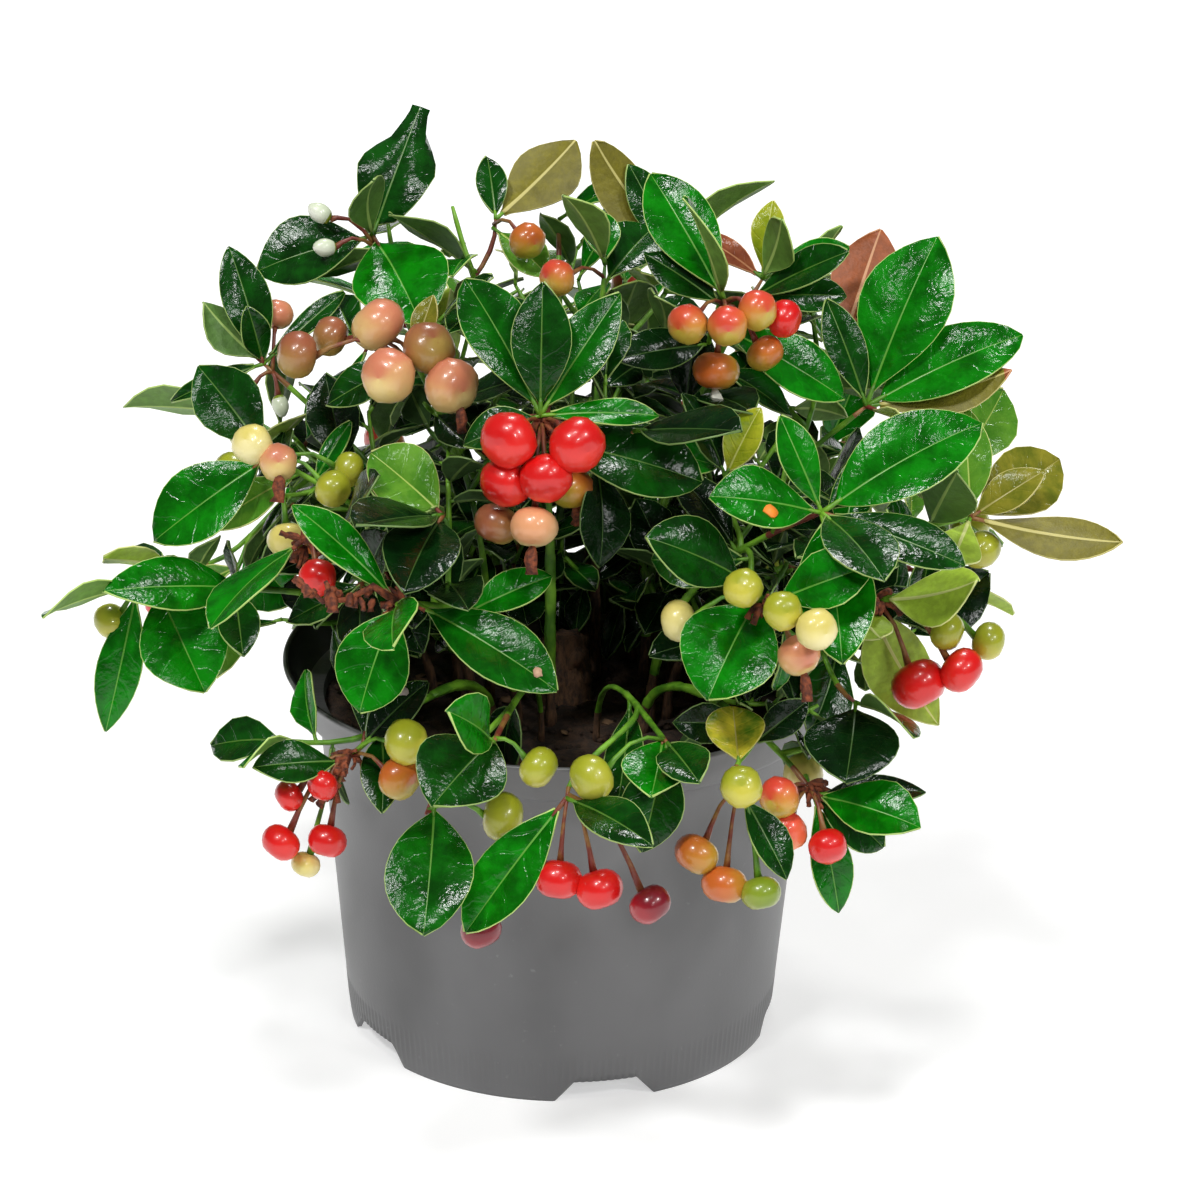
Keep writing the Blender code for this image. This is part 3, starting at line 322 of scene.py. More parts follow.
        rosette(116, 92, 6, 95, 3, 2, 29, 9, ripe="red")),
    "right_skirt": (
        rosette(85, 78, 8, 92, 4, 1, 24, 9, ripe="split"),),
}

# Ways to try a leaf or a berry: turned about its shoot, lifted, and shrunk; posed leaves take the first few
tries = ((0, 0, 1.0), (10, 0, 1.0), (-10, 0, 1.0), (0, 10, 1.0), (0, -10, 1.0), (20, 0, 0.95), (-20, 0, 0.95),
         (0, 20, 0.95), (0, -20, 0.95), (32, 8, 0.9), (-32, 8, 0.9), (32, -12, 0.85), (-32, -12, 0.85),
         (0, 34, 0.8), (0, -34, 0.8), (46, 16, 0.75), (-46, 16, 0.75))
posedTries = 7


def heading(bearing, pitch):
    turn, rise = math.radians(bearing), math.radians(pitch)
    return Vector((math.sin(turn) * math.cos(rise), -math.cos(turn) * math.cos(rise), math.sin(rise)))


def turnedAbout(vector, axis, degrees):
    return Matrix.Rotation(math.radians(degrees), 3, axis) @ vector


def bezier(points, share):
    a, b, c, d = points
    rest = 1.0 - share
    return a * rest ** 3 + b * 3 * rest * rest * share + c * 3 * rest * share ** 2 + d * share ** 3


def tangent(points, share):
    return (bezier(points, min(share + 0.01, 1.0)) - bezier(points, max(share - 0.01, 0.0))).normalized()


def seamShare(line):
    return stemSizes["bough"] + potSizes["gap"] / (line[3] - line[0]).length


# A place on the solid's stem, which runs straight between a few points of the line
def spot(line, share, start):
    stretch = stemSizes["points"] - 1
    run = (share - start) / (1.0 - start) * stretch
    step = min(max(int(run), 0), stretch - 1)
    low = start + (1.0 - start) * step / stretch
    high = start + (1.0 - start) * (step + 1) / stretch
    return bezier(line, low).lerp(bezier(line, high), run - step)


def standingPlace(tip):
    return heading(tip.bearing, 0) * tip.reach * mm + Vector((0, 0, potSizes["height"] + tip.rise * mm))


def shootLine(tip, turn, shift):
    end = standingPlace(tip)
    footReach = stemSizes["ring"] + (stemSizes["spread"] * tip.reach + shift) * mm
    foot = heading(tip.bearing + turn, 0) * footReach + Vector((0, 0, potSizes["soilTop"] + potSizes["gap"]))
    span = (end - foot).length
    axis = heading(tip.bearing, 90 - tip.lean)
    return (foot, foot + Vector((0, 0, stemSizes["footPull"] * span)),
            end - axis * stemSizes["tipPull"] * span, end)


def forkLine(main, tip):
    start = bezier(main, stemSizes["fork"])
    end = standingPlace(tip)
    pull = (end - start).length * stemSizes["tipPull"]
    axis = heading(tip.bearing, 90 - tip.lean)
    return start, start + tangent(main, stemSizes["fork"]) * pull, end - axis * pull, end


def turnedAndLifted(toward, axis, turn, lift):
    swung = turnedAbout(toward, axis, turn)
    hinge = swung.cross(axis)
    if hinge.length < 0.05:
        return swung
    return turnedAbout(swung, hinge.normalized(), lift).normalized()


def stemThickness(share):
    return stemSizes["foot"] + (stemSizes["tip"] - stemSizes["foot"]) * share


def twigThickness(share):
    return stemSizes["twig"] + (stemSizes["tip"] - stemSizes["twig"]) * share


def stalkThickness(share):
    return berrySizes["stalk"]


# The eleven corners of a leaf's solid only feel for its neighbours here
leafFaces = ((0, 6, 2), (0, 6, 3), (2, 4, 8), (2, 8, 6), (3, 6, 8), (3, 8, 5), (4, 10, 8), (5, 8, 10),
             (1, 2, 7), (1, 7, 3), (2, 4, 9), (2, 9, 7), (3, 7, 9), (3, 9, 5), (4, 10, 9), (5, 9, 10),
             (0, 1, 2), (0, 1, 3))


def leafCorners(leaf, margin=0.0, begin=0.0):
    side = leaf.toward.cross(leaf.face).normalized()
    face = side.cross(leaf.toward).normalized()
    fold, bend = math.radians(leaf.fold), math.radians(leaf.bend)
    half = leafSizes["thickness"] / 2 + margin
    lower, upper = leafSizes["lower"], leafSizes["upper"]

    def midrib(share):
        dip = bend * max(share - lower, 0.0) / 2
        return leaf.root + (leaf.toward * math.cos(dip) - face * math.sin(dip)) * leaf.length * share

    def edge(share, breadth, hand):
        out = breadth * leaf.breadth * leaf.length + margin
        return midrib(share) + side * hand * out * math.cos(fold) + face * out * math.sin(fold)

    def layer(share, sign):
        return midrib(share) + face * half * sign

    return [layer(begin, 1), layer(begin, -1),
            edge(lower, leafSizes["lowerBreadth"], -1), edge(lower, leafSizes["lowerBreadth"], 1),
            edge(upper, leafSizes["upperBreadth"], -1), edge(upper, leafSizes["upperBreadth"], 1),
            layer(lower, 1), layer(lower, -1), layer(upper, 1), layer(upper, -1),
            midrib(1.0 + margin / leaf.length)]


def berryCentre(berry):
    return berry.root + berry.toward * berry.stalk


def limits(points, margin=0.0005):
    low = [min(point[axis] for point in points) - margin for axis in range(3)]
    high = [max(point[axis] for point in points) + margin for axis in range(3)]
    return low, high


def sleeve(line, start, end, steps, thickness, margin):
    corners, faces = [], []
    for step in range(steps + 1):
        share = start + (end - start) * step / steps
        along = tangent(line, share)
        across = along.orthogonal().normalized() * (thickness(share) + margin)
        corners += [bezier(line, share) + turnedAbout(across, along, 60 * corner) for corner in range(6)]
    for step in range(steps):
        for corner in range(6):
            low, following = step * 6, (corner + 1) % 6
            faces.append((low + corner, low + following, low + 6 + following, low + 6 + corner))
    return BVHTree.FromPolygons(corners, faces)


def ball(centre, radius):
    shape = bmesh.new()
    bmesh.ops.create_icosphere(shape, subdivisions=2, radius=radius, matrix=Matrix.Translation(centre))
    tree = BVHTree.FromBMesh(shape)
    shape.free()
    return tree


# A profile of radii and heights, turned once round the middle
def turnedSkin(profile, steps):
    skin = bmesh.new()
    corners = [skin.verts.new((radius, 0, height)) for radius, height in profile]
    edges = [skin.edges.new(pair) for pair in zip(corners, corners[1:])]
    bmesh.ops.spin(skin, geom=corners + edges, cent=(0, 0, 0), axis=(0, 0, 1), angle=2 * math.pi,
                   steps=steps, use_merge=True)
    return skin


def potGuard():
    pot, proud = potSizes, potSizes["guard"]
    top, collarBase = pot["height"] + proud, pot["height"] - pot["collarHeight"] - proud
    profile = ((0.0, pot["soilTop"] + proud), (pot["neck"] - 3 * proud, pot["soilTop"] + proud),
               (pot["rim"] - 3 * proud, top), (pot["rim"] + proud, top), (pot["collar"] + proud, collarBase),
               (pot["base"] + proud, 0.0))
    skin = turnedSkin(profile, pot["guardSteps"])
    tree = BVHTree.FromBMesh(skin)
    skin.free()
    return tree


def insideCrown(point):
    level = math.hypot(point.x, point.y) / crownSpace["reach"]
    height = point.z - potSizes["height"]
    limit = crownSpace["rise"] if height > 0 else crownSpace["hang"]
    return level ** 2 + (height / limit) ** 2 < 1.0


class Thicket:
    def __init__(self):
        self.guards = []
        self.pot = potGuard()

    def clear(self, guard, raised=None):
        if (raised or guard.full).overlap(self.pot):
            return False
        for other in self.guards:
            if any(guard.low[axis] > other.high[axis] or guard.high[axis] < other.low[axis]
                   for axis in range(3)):
                continue
            if other.mass == guard.mass and guard.free.overlap(other.free):
                return False
            if other.mass != guard.mass and guard.full.overlap(other.full):
                return False
        return True

    def settle(self, guards):
        found = all(self.clear(guard) for guard in guards)
        if found:
            self.guards += guards
        return found


def faceFor(toward, axis):
    wish = axis * 0.7 + Vector((0, 0, 0.6))
    face = wish - toward * wish.dot(toward)
    if face.length < 0.1:
        face = toward.orthogonal()
    return face.normalized()


def posedLeaf(number, pose, root):
    toward = heading(pose.bearing, pose.pitch)
    face = turnedAbout(faceFor(toward, heading(0, leafSizes["posedFacing"])), toward, pose.roll)
    return Leaf(number, root, toward, face, pose.length * mm, pose.breadth, leafSizes["bend"],
                leafSizes["fold"], pose.tint, leafLook["posedRows"])


def dealtLeaf(number, size, draw, phase, index, low, root, axis):
    vary = leafVariety
    first, widest = leafSizes["openings"]
    away = first + (widest - first) * min(1.0, low * 1.6) + draw.uniform(*vary["opening"])
    turn = phase + leafSizes["goldenTurn"] * index + draw.uniform(*vary["turn"])
    growth = 0.80 + 0.24 * math.sin(math.pi * min(1.0, 0.25 + low))
    length = size * mm * growth * draw.uniform(*vary["length"])
    breadth = leafSizes["breadth"] * draw.uniform(*vary["breadth"])
    across = turnedAbout(axis.orthogonal().normalized(), axis, turn)
    opening = math.radians(away)
    toward = (axis * math.cos(opening) + across * math.sin(opening)).normalized()
    face = turnedAbout(faceFor(toward, axis), toward, draw.uniform(*vary["roll"]))
    bend = leafSizes["bend"] * draw.uniform(*vary["bend"])
    fold = leafSizes["fold"] * draw.uniform(*vary["fold"])
    return Leaf(number, root, toward, face, length, breadth, bend, fold, None, leafLook["dealtRows"])


def dealtBerry(number, tip, draw, root):
    vary = berryVariety
    radius = tip.berry * mm / 2 * draw.uniform(*vary["width"])
    stalk = radius + draw.uniform(*vary["stalk"])
    bearing = tip.bearing * 0.8 + draw.uniform(*vary["bearing"])
    pitch = 15 - 0.6 * tip.lean + draw.uniform(*vary["pitch"])
    return Berry(number, root, heading(bearing, pitch), stalk, radius, tip.ripeness)


# Leaves and berries wait in five passes: posed leaves, posed fruit, outer leaves, dealt berries, inner leaves
def propose(number, name, lines):
    draw = random.Random(1000 + number)
    passes = [[], [], [], [], []]
    for tip, line in zip(shoots[name], lines):
        onMain = line is lines[0]
        seam = seamShare(line) if onMain else stemSizes["twigStart"]
        first = leafSizes["shootFrom"] if onMain else leafSizes["twigFrom"]
        phase = draw.uniform(0, 360)
        axis = tangent(line, berrySizes["along"])
        for pose in tip.posed:
            passes[0].append((posedLeaf(number, pose, spot(line, pose.along, seam)), axis))
        for row in tip.fruit:
            root, toward = spot(line, berrySizes["along"], seam), heading(row.bearing, row.pitch)
            berry = Berry(number, root, toward, row.stalk * mm, row.width * mm / 2, row.ripeness)
            passes[1].append((berry, axis))
        for index in range(tip.leaves):
            low = index / max(tip.leaves - 1, 1)
            share = 1.0 - low * (1.0 - first) * leafSizes["span"]
            here = tangent(line, share)
            leaf = dealtLeaf(number, tip.leaf, draw, phase, index, low, spot(line, share, seam), here)
            passes[2 if low < leafSizes["showing"] else 4].append((leaf, here))
        for index in range(tip.berries):
            root = spot(line, berrySizes["along"] - berrySizes["step"] * index, seam)
            passes[3].append((dealtBerry(number, tip, draw, root), axis))
    return passes


def tryLeaf(thicket, leaf, axis, posed=False):
    for turn, lift, scale in tries[:posedTries] if posed else tries:
        toward = turnedAndLifted(leaf.toward, axis, turn, lift)
        swing = leaf.toward.rotation_difference(toward).to_matrix()
        tried = leaf._replace(toward=toward, face=swing @ leaf.face, length=leaf.length * scale)
        corners = leafCorners(tried, leafSizes["clearance"])
        if not posed and not insideCrown(corners[-1]):
            continue
        full = BVHTree.FromPolygons(corners, leafFaces)
        blade = leafCorners(tried, leafSizes["clearance"], leafSizes["rootShare"])
        free = BVHTree.FromPolygons(blade, leafFaces)
        if thicket.settle([Guard(leaf.mass, full, free, *limits(corners))]):
            return tried
    return None


def tryBerry(thicket, berry, axis):
    for turn, lift, scale in tries:
        toward = turnedAndLifted(berry.toward, axis, turn, lift)
        tried = berry._replace(toward=toward, stalk=berry.stalk / scale)
        centre = berryCentre(tried)
        if not insideCrown(centre):
            continue
        corner = Vector((1, 1, 1)) * berry.radius
        fruit = ball(centre, berry.radius * berrySizes["swell"] + leafSizes["clearance"])
        pressed = ball(centre, berry.radius * berrySizes["press"])
        line = (berry.root, berry.root, centre, centre)
        full = sleeve(line, *stretches["stalk"], stalkThickness, leafSizes["clearance"])
        free = sleeve(line, *stretches["freeStalk"], stalkThickness, leafSizes["clearance"])
        guards = [Guard(berry.mass, fruit, pressed, *limits([centre - corner, centre + corner])),
                  Guard(berry.mass, full, free, *limits([berry.root, centre], berrySizes["stalk"]))]
        if thicket.settle(guards):
            return tried
    return None


def stand(thicket, number, name):
    tips = shoots[name]
    for turn, shift in ((turn, shift) for turn in stemSizes["turns"] for shift in stemSizes["shifts"]):
        main = shootLine(tips[0], turn, shift)
        lines = [main] + [forkLine(main, tip) for tip in tips[1:]]
        guards = []
        for line in lines:
            full = sleeve(line, *stretches["stem"], stemThickness, leafSizes["clearance"])
            free = sleeve(line, *stretches["freeStem"], stemThickness, 0.0)
            span = limits([bezier(line, step / 10) for step in range(11)], 2 * stemSizes["foot"])
            guards.append(Guard(number, full, free, *span))
        if all(thicket.clear(guard, raised=guard.free) for guard in guards):
            break
    thicket.guards += guards
    return lines


def growSolids(thicket):
    lines = {name: stand(thicket, number, name) for number, name in enumerate(shoots)}
    proposals = {name: propose(number, name, lines[name]) for number, name in enumerate(shoots)}
    leaves = {name: [] for name in shoots}
    berries = {name: [] for name in shoots}
    for turn in range(5):
        for name in shoots:
            for item, axis in proposals[name][turn]:
                if isinstance(item, Leaf):
                    found, kept = tryLeaf(thicket, item, axis, posed=turn == 0), leaves[name]
                else:
                    found, kept = tryBerry(thicket, item, axis), berries[name]
                if found is not None:
                    kept.append(found)
    return lines, leaves, berries


# Finer growth that the solids leave out: side twigs with small leaves, inside the same reach
fineGrowth = dict(twigShares=(0.34, 0.46, 0.58, 0.70, 0.82), forkShares=(0.35, 0.65),
                  lowShares=(0.13, 0.19, 0.26), behind=75, length=(10, 24), opening=52,
                  openingVaries=(-14, 14), lift=0.25, leaves=5, leafSpan=0.72, leaf=19,
                  leafVaries=(0.8, 1.25), hollowLow=(-0.030, -0.090, 0.0), hollowHigh=(0.045, -0.005, 0.145),
                  clearing=0.011, twigClearing=0.006, clearDepth=0.045)


def hides(point, centres, clearing):
    return any(0 < centre.y - point.y < fineGrowth["clearDepth"]
               and math.hypot(point.x - centre.x, point.z - centre.z) < clearing for centre in centres)


def inHollow(point):
    low, high = fineGrowth["hollowLow"], fineGrowth["hollowHigh"]
    return all(low[axis] < point[axis] < high[axis] for axis in range(3))


# A side twig that opens away from its line and lifts towards its end
def fineTwig(line, share, draw):
    root, here = bezier(line, share), tangent(line, share)
    opening = fineGrowth["opening"] + draw.uniform(*fineGrowth["openingVaries"])
    across = turnedAbout(here.orthogonal().normalized(), here, draw.uniform(0, 360))
    toward = here * math.cos(math.radians(opening)) + across * math.sin(math.radians(opening))
    span = draw.uniform(*fineGrowth["length"]) * mm
    end = root + toward * span + up * span * fineGrowth["lift"]
    twig = (root, root + toward * span * 0.4, end - (toward + up * 0.5).normalized() * span * 0.3, end)
    return twig, opening


def fineLeaves(thicket, number, twig, phase, centres, draw):
    grown = []
    for index in range(fineGrowth["leaves"]):
        low = index / (fineGrowth["leaves"] - 1)
        along = 1.0 - fineGrowth["leafSpan"] * low
        axis = tangent(twig, along)
        size = fineGrowth["leaf"] * draw.uniform(*fineGrowth["leafVaries"])
        wish = dealtLeaf(number, size, draw, phase, index, low, bezier(twig, along), axis)
        if hides(wish.root + wish.toward * wish.length * 0.5, centres, fineGrowth["clearing"]):
            continue
        leaf = tryLeaf(thicket, wish._replace(rows=leafLook["fineRows"]), axis)
        if leaf is not None:
            grown.append(leaf)
    return grown


def growFine(thicket, lines, leaves, berries):
    twigs = {name: [] for name in shoots}
    centres = [berryCentre(berry) for name in shoots for berry in berries[name]]
    centres += [leaf.root + leaf.toward * leaf.length * 0.6
                for name in shoots for leaf in leaves[name] if leaf.tint]
    for number, name in enumerate(shoots):
        draw = random.Random(5000 + number)
        lowShares = fineGrowth["lowShares"] if abs(shoots[name][0].bearing) > fineGrowth["behind"] else ()
        for line in lines[name]:
            onMain = line is lines[name][0]
            for share in lowShares + fineGrowth["twigShares"] if onMain else fineGrowth["forkShares"]:
                twig, opening = fineTwig(line, share, draw)
                end = twig[3]
                touching = sleeve(twig, *stretches["fineTwig"], twigThickness, 0).overlap(thicket.pot)
                if inHollow(end) or touching or not insideCrown(end):
                    continue
                grown = fineLeaves(thicket, number, twig, opening * 7, centres, draw)
                if grown and not hides(end, centres, fineGrowth["twigClearing"]):
                    twigs[name].append(twig)
                    leaves[name] += grown
    return twigs


# Foliage tones: a dealt leaf draws its own from the outer or the inner mix, but for two that show clearly;
# the inner mix, mostly the near-black dark set, is painted shade on the leaves deep in the crown
foliageMix = dict(outer=("bright", "bright", "deep", "bright", "deep", "light", "deep", "bright"),
                  inner=("deep", "dark", "dark", "dark"), paintedShadeDepth=0.62)
dealtTints = {("far_right", 5): "olive", ("left_high", 4): "deep"}


def dealTints(leaves):
    for number, name in enumerate(shoots):
        draw = random.Random(7000 + number)
        for index, leaf in enumerate(leaves[name]):
            depth = math.hypot(leaf.root.x, leaf.root.y) / crownSpace["reach"]
            height = (leaf.root.z - potSizes["height"]) / crownSpace["rise"]
            outer = math.hypot(depth, max(height, 0.0)) > foliageMix["paintedShadeDepth"]
            tint = draw.choice(foliageMix["outer" if outer else "inner"])
            leaves[name][index] = leaf._replace(tint=leaf.tint or dealtTints.get((name, index), tint))


# Each shoot is made as a small bmesh of its own and then gathered into its piece, which keeps the work quick
def gather(shape, bunch):
    mesh = bpy.data.meshes.new("bunch")
    bunch.to_mesh(mesh)
    bunch.free()
    shape.from_mesh(mesh)
    bpy.data.meshes.remove(mesh)


# A finished shape becomes one piece of the body, with its faces outwards unless that has been seen to
def handOver(name, shape, finishes, replaced=(), outward=True):
    if outward:
        bmesh.ops.recalc_face_normals(shape, faces=shape.faces)
    for face in shape.faces:
        face.smooth = True
    mesh = bpy.data.meshes.new(name)
    shape.to_mesh(mesh)
    shape.free()
    for finish in finishes:
        mesh.materials.append(finish.material)
    piece = bpy.data.objects.new(name, mesh)
    bpy.context.scene.collection.objects.link(piece)
    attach(piece, "root")
    if replaced:
        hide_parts(*replaced)
    return piece


# Lumps of several sizes at one place, from pairs of noise scale and share
def lumpsAt(place, grains):
    return sum(share * noise.noise(place * scale) for scale, share in grains)


def frameAt(point, along, across, radius):
    side = along.cross(across).normalized()
    matrix = Matrix((across, side, along)).transposed().to_4x4()
    return Matrix.Translation(point) @ matrix @ Matrix.Diagonal((radius, radius, radius, 1))


quarters = (0.0, 0.25, 0.5, 0.75, 1.0)  # places along a fine twig or a dried stalk


# A tapering tube: one circle, then each ring extruded from the last and turned into its place
def tubeInto(shape, points, radii, sides, slot=0, lump=0.0, slotOf=None):
    slotAt = slotOf or (lambda along: slot)
    last = len(points) - 1
    directions = [(points[min(step + 1, last)] - points[max(step - 1, 0)]).normalized()
                  for step in range(len(points))]
    across = directions[0].orthogonal().normalized()
    placed = frameAt(points[0], directions[0], across, radii[0])
    ring = bmesh.ops.create_circle(shape, cap_ends=True, segments=sides, radius=1.0, matrix=placed)["verts"]
    for face in set(ring[0].link_faces):
        face.material_index = slotAt(0)
    edges = list({edge for vert in ring for edge in vert.link_edges})
    for number in range(1, len(points)):
        swing = directions[number - 1].rotation_difference(directions[number])
        across = (swing @ across).normalized()
        following = frameAt(points[number], directions[number], across, radii[number])
        grown = bmesh.ops.extrude_edge_only(shape, edges=edges)["geom"]
        verts = [item for item in grown if isinstance(item, bmesh.types.BMVert)]
        bmesh.ops.transform(shape, matrix=following @ placed.inverted(), verts=verts)
        if lump:
            for vert in verts:
                reach = vert.co - points[number]
                vert.co = points[number] + reach * (1.0 + lump * lumpsAt(vert.co, ((900, 1.0), (2200, 0.6))))
        for item in grown:
            if isinstance(item, bmesh.types.BMFace):
                item.material_index = slotAt(number / last)
        edges = [item for item in grown if isinstance(item, bmesh.types.BMEdge)
                 and item.verts[0] in verts and item.verts[1] in verts]
        placed = following
    for face in bmesh.ops.edgeloop_fill(shape, edges=edges)["faces"]:
        face.material_index = slotAt(1.0)


# Pot: moulded grey outside and black within, with a rolled lip, a fluted foot band and notches in its foot.
# Its rounded edges are steps in millimetres, out and up from the corner that each one rounds
potLook = dict(steps=576, rings=(0.066, 0.052, 0.038, 0.024, 0.0135), bandTop=0.0105, bandFold=0.0006,
               bandLow=0.0075, flute=0.00016, fluteSwell=0.3, fluteEvery=3, notchSink=0.0003, slack=0.0002,
               lip=((-0.65, 0), (-0.13, -0.2), (0, -0.55), (-0.3, -1.1), (-1.2, -3.0)),
               lipInside=((-1.3, -0.6), (-1.17, -0.1)), collarFoot=((0.6, 1.2), (0.1, 0.3), (-0.5, 0)),
               neckTop=((0.6, 0), (0, -0.6)), footEdge=((0, 1.2), (-0.2, 0)),
               channelEdge=((0.2, 0), (0, 0.8)),
               grey=tone(98, 98, 99), pale=tone(102, 102, 103), dull=tone(94, 94, 95),
               scuff=tone(150, 150, 152), black=tone(24, 24, 25), roughness=0.40)


def potFinishes():
    outside = Finish("potGrey", potLook["grey"], potLook["roughness"])
    streak = outside.grain(1.0, 4.0, 0.6, outside.stretched((60, 60, 14)))
    cloud = outside.grain(26, 3.0)
    mask = (streak * 0.25 + cloud * 0.75).ramp(0.36, 0.66)
    scuffs = outside.grain(420, 4.0).ramp(0.66, 0.80)
    moulded = outside.blendOf(mask, potLook["dull"], potLook["pale"])
    outside.colour(outside.blendOf(scuffs * 0.35, moulded, potLook["scuff"]))
    outside.gloss(potLook["roughness"] + (cloud - 0.5) * 0.22 + scuffs * 0.12)
    outside.relief(outside.grain(1500, 2.0) * 0.5 + streak * 0.5, 0.12, 0.0004)
    inside = Finish("potBlack", potLook["black"], 0.5)
    inside.gloss(0.42 + inside.grain(120) * 0.25)
    inside.relief(inside.grain(900), 0.1, 0.0003)
    return outside, inside


def nearCorner(radius, height, steps):
    return [(radius + out * mm, height + rise * mm) for out, rise in steps]


def makePot():
    pot, look = potSizes, potLook
    wall, collarBase = pot["wall"], pot["height"] - pot["collarHeight"]
    channelOut = pot["base"] - wall
    channelIn = channelOut - pot["channelWidth"]
    floorTop = pot["channelHeight"] + wall
    notchTop = pot["channelHeight"] - look["notchSink"]

    def outerAt(height):
        return pot["base"] + (pot["neck"] - pot["base"]) * height / collarBase

    inner = [(0.0, floorTop), (channelOut, floorTop), (pot["neck"] - wall, collarBase + wall),
             (pot["collar"] - wall, collarBase + wall)]
    inner += nearCorner(pot["rim"], pot["height"], look["lipInside"])
    outer = nearCorner(pot["rim"], pot["height"], look["lip"])
    outer += nearCorner(pot["collar"], collarBase, look["collarFoot"])
    outer += nearCorner(pot["neck"], collarBase, look["neckTop"])
    band = (look["bandTop"] + look["bandFold"], look["bandTop"], look["bandLow"], notchTop)
    outer += [(outerAt(height), height) for height in look["rings"] + band]
    foot = nearCorner(pot["base"], 0.0, look["footEdge"]) + nearCorner(channelOut, 0.0, look["channelEdge"])
    foot += [(channelOut, pot["channelHeight"]), (channelIn, pot["channelHeight"]), (channelIn, 0.0),
             (0.0, 0.0)]
    shape = turnedSkin(inner + outer + foot, look["steps"])
    bmesh.ops.remove_doubles(shape, verts=shape.verts, dist=0.00001)
    halfNotch = math.degrees(pot["notchWidth"] / 2 / pot["base"])
    slope = halfNotch * (1.0 - pot["notchTop"])
    spacing = 360 / pot["notches"]
    for vert in shape.verts:
        radius = math.hypot(vert.co.x, vert.co.y)
        if radius < channelOut - look["slack"]:
            continue
        bearing = math.degrees(math.atan2(vert.co.x, -vert.co.y))
        nearest = (bearing - pot["firstNotch"] + spacing / 2) % spacing - spacing / 2
        if vert.co.z < notchTop - look["slack"]:
            depth = min(max((halfNotch - abs(nearest)) / slope, 0.0), 1.0)
            vert.co.z += (notchTop - vert.co.z) * depth
        elif vert.co.z < look["bandTop"] + look["slack"]:
            column = round((bearing % 360) * look["steps"] / 360)
            sunk = look["flute"] * (-look["fluteSwell"] if column % look["fluteEvery"] else 1.0)
            scale = (radius - sunk) / radius
            vert.co.x *= scale
            vert.co.y *= scale
    bmesh.ops.recalc_face_normals(shape, faces=shape.faces)
    for face in shape.faces:
        middle = face.calc_center_median()
        radius = math.hypot(middle.x, middle.y)
        inward = face.normal.x * middle.x + face.normal.y * middle.y < -1e-7
        inside = radius < outerAt(min(middle.z, collarBase)) - wall * 0.5
        above = middle.z > floorTop - look["slack"] and inside
        within = middle.z > collarBase + wall * 0.6 and inward
        face.material_index = 1 if above or within else 0
    handOver("potShell", shape, potFinishes(), ["pot"], outward=False)


# Root ball: dark lumpy peat with crumbs and flat flecks on it
peatLook = dict(rings=34, segments=96, shoulder=0.7, sink=0.0015, skin=0.003, lumps=0.0016,
                grains=((140, 1.0), (380, 0.6), (900, 0.4)), crumbs=420, flecks=46, spread=0.96,
                crumbSize=(0.0005, 0.0014), fleckSize=(0.0010, 0.0022), narrow=(0.5, 0.9), tilt=(-0.5, 0.5),
                fleckFlat=0.25, ragged=(-0.22, 0.22), dark=tone(38, 27, 20), brown=tone(74, 52, 36),
                fleck=tone(128, 100, 70), fleckDark=tone(84, 60, 42))


def peatFinishes():
    peat = Finish("peat", peatLook["dark"], 0.95)
    peat.colour(peat.blendOf(peat.grain(260, 6.0, 0.7).ramp(0.38, 0.68), peatLook["dark"], peatLook["brown"]))
    peat.relief(peat.grain(700, 6.0, 0.75), 0.8, 0.0012)
    bark = Finish("peatFleck", peatLook["fleck"], 0.85)
    bark.colour(bark.blendOf(bark.grain(600), peatLook["fleckDark"], peatLook["fleck"]))
    return peat, bark


def makeRootBall():
    pot, look = potSizes, peatLook
    soilTop, wallInside = pot["soilTop"], pot["neck"] - pot["wall"] - pot["gap"]
    bottom = pot["channelHeight"] + pot["wall"] + pot["gap"]
    radii = [wallInside * ((step + 1) / look["rings"]) for step in range(look["rings"])]
    drop = look["sink"] / (1.0 - look["shoulder"])
    rim = [(radius, soilTop - drop * max(0.0, radius / wallInside - look["shoulder"])) for radius in radii]
    profile = [(0.0, soilTop)] + rim + [(pot["base"] - pot["wall"] - 0.0005, bottom), (0.0, bottom)]
    shape = turnedSkin(profile, look["segments"])
    bmesh.ops.remove_doubles(shape, verts=shape.verts, dist=0.00001)
    bmesh.ops.recalc_face_normals(shape, faces=shape.faces)
    for vert in shape.verts:
        if vert.co.z > soilTop - look["skin"]:
            vert.co.z += look["lumps"] * (lumpsAt(vert.co, look["grains"]) * 0.8 - 0.1)
    draw = random.Random(31)
    for number in range(look["crumbs"] + look["flecks"]):
        reach, turn = wallInside * look["spread"] * math.sqrt(draw.random()), draw.uniform(0, 2 * math.pi)
        flat = number >= look["crumbs"]
        size = draw.uniform(*look["fleckSize" if flat else "crumbSize"])
        spin = Matrix.Rotation(draw.uniform(0, 6.28), 4, 'Z')
        tilt = Matrix.Rotation(draw.uniform(*look["tilt"]), 4, 'X')
        breadth = draw.uniform(*look["narrow"])
        height = look["fleckFlat"] if flat else draw.uniform(*look["narrow"])
        stretch = Matrix.Diagonal((1.0, breadth, height, 1))
        place = Matrix.Translation((reach * math.cos(turn), reach * math.sin(turn), soilTop + size * 0.2))
        made = bmesh.ops.create_icosphere(shape, subdivisions=1, radius=size,
                                          matrix=place @ spin @ tilt @ stretch)
        for vert in made["verts"]:
            vert.co += Vector([draw.uniform(*look["ragged"]) * size for axis in range(3)])
            for face in vert.link_faces:
                face.material_index = 1 if flat else 0
    handOver("peatBall", shape, peatFinishes(), ["root_ball"], outward=False)


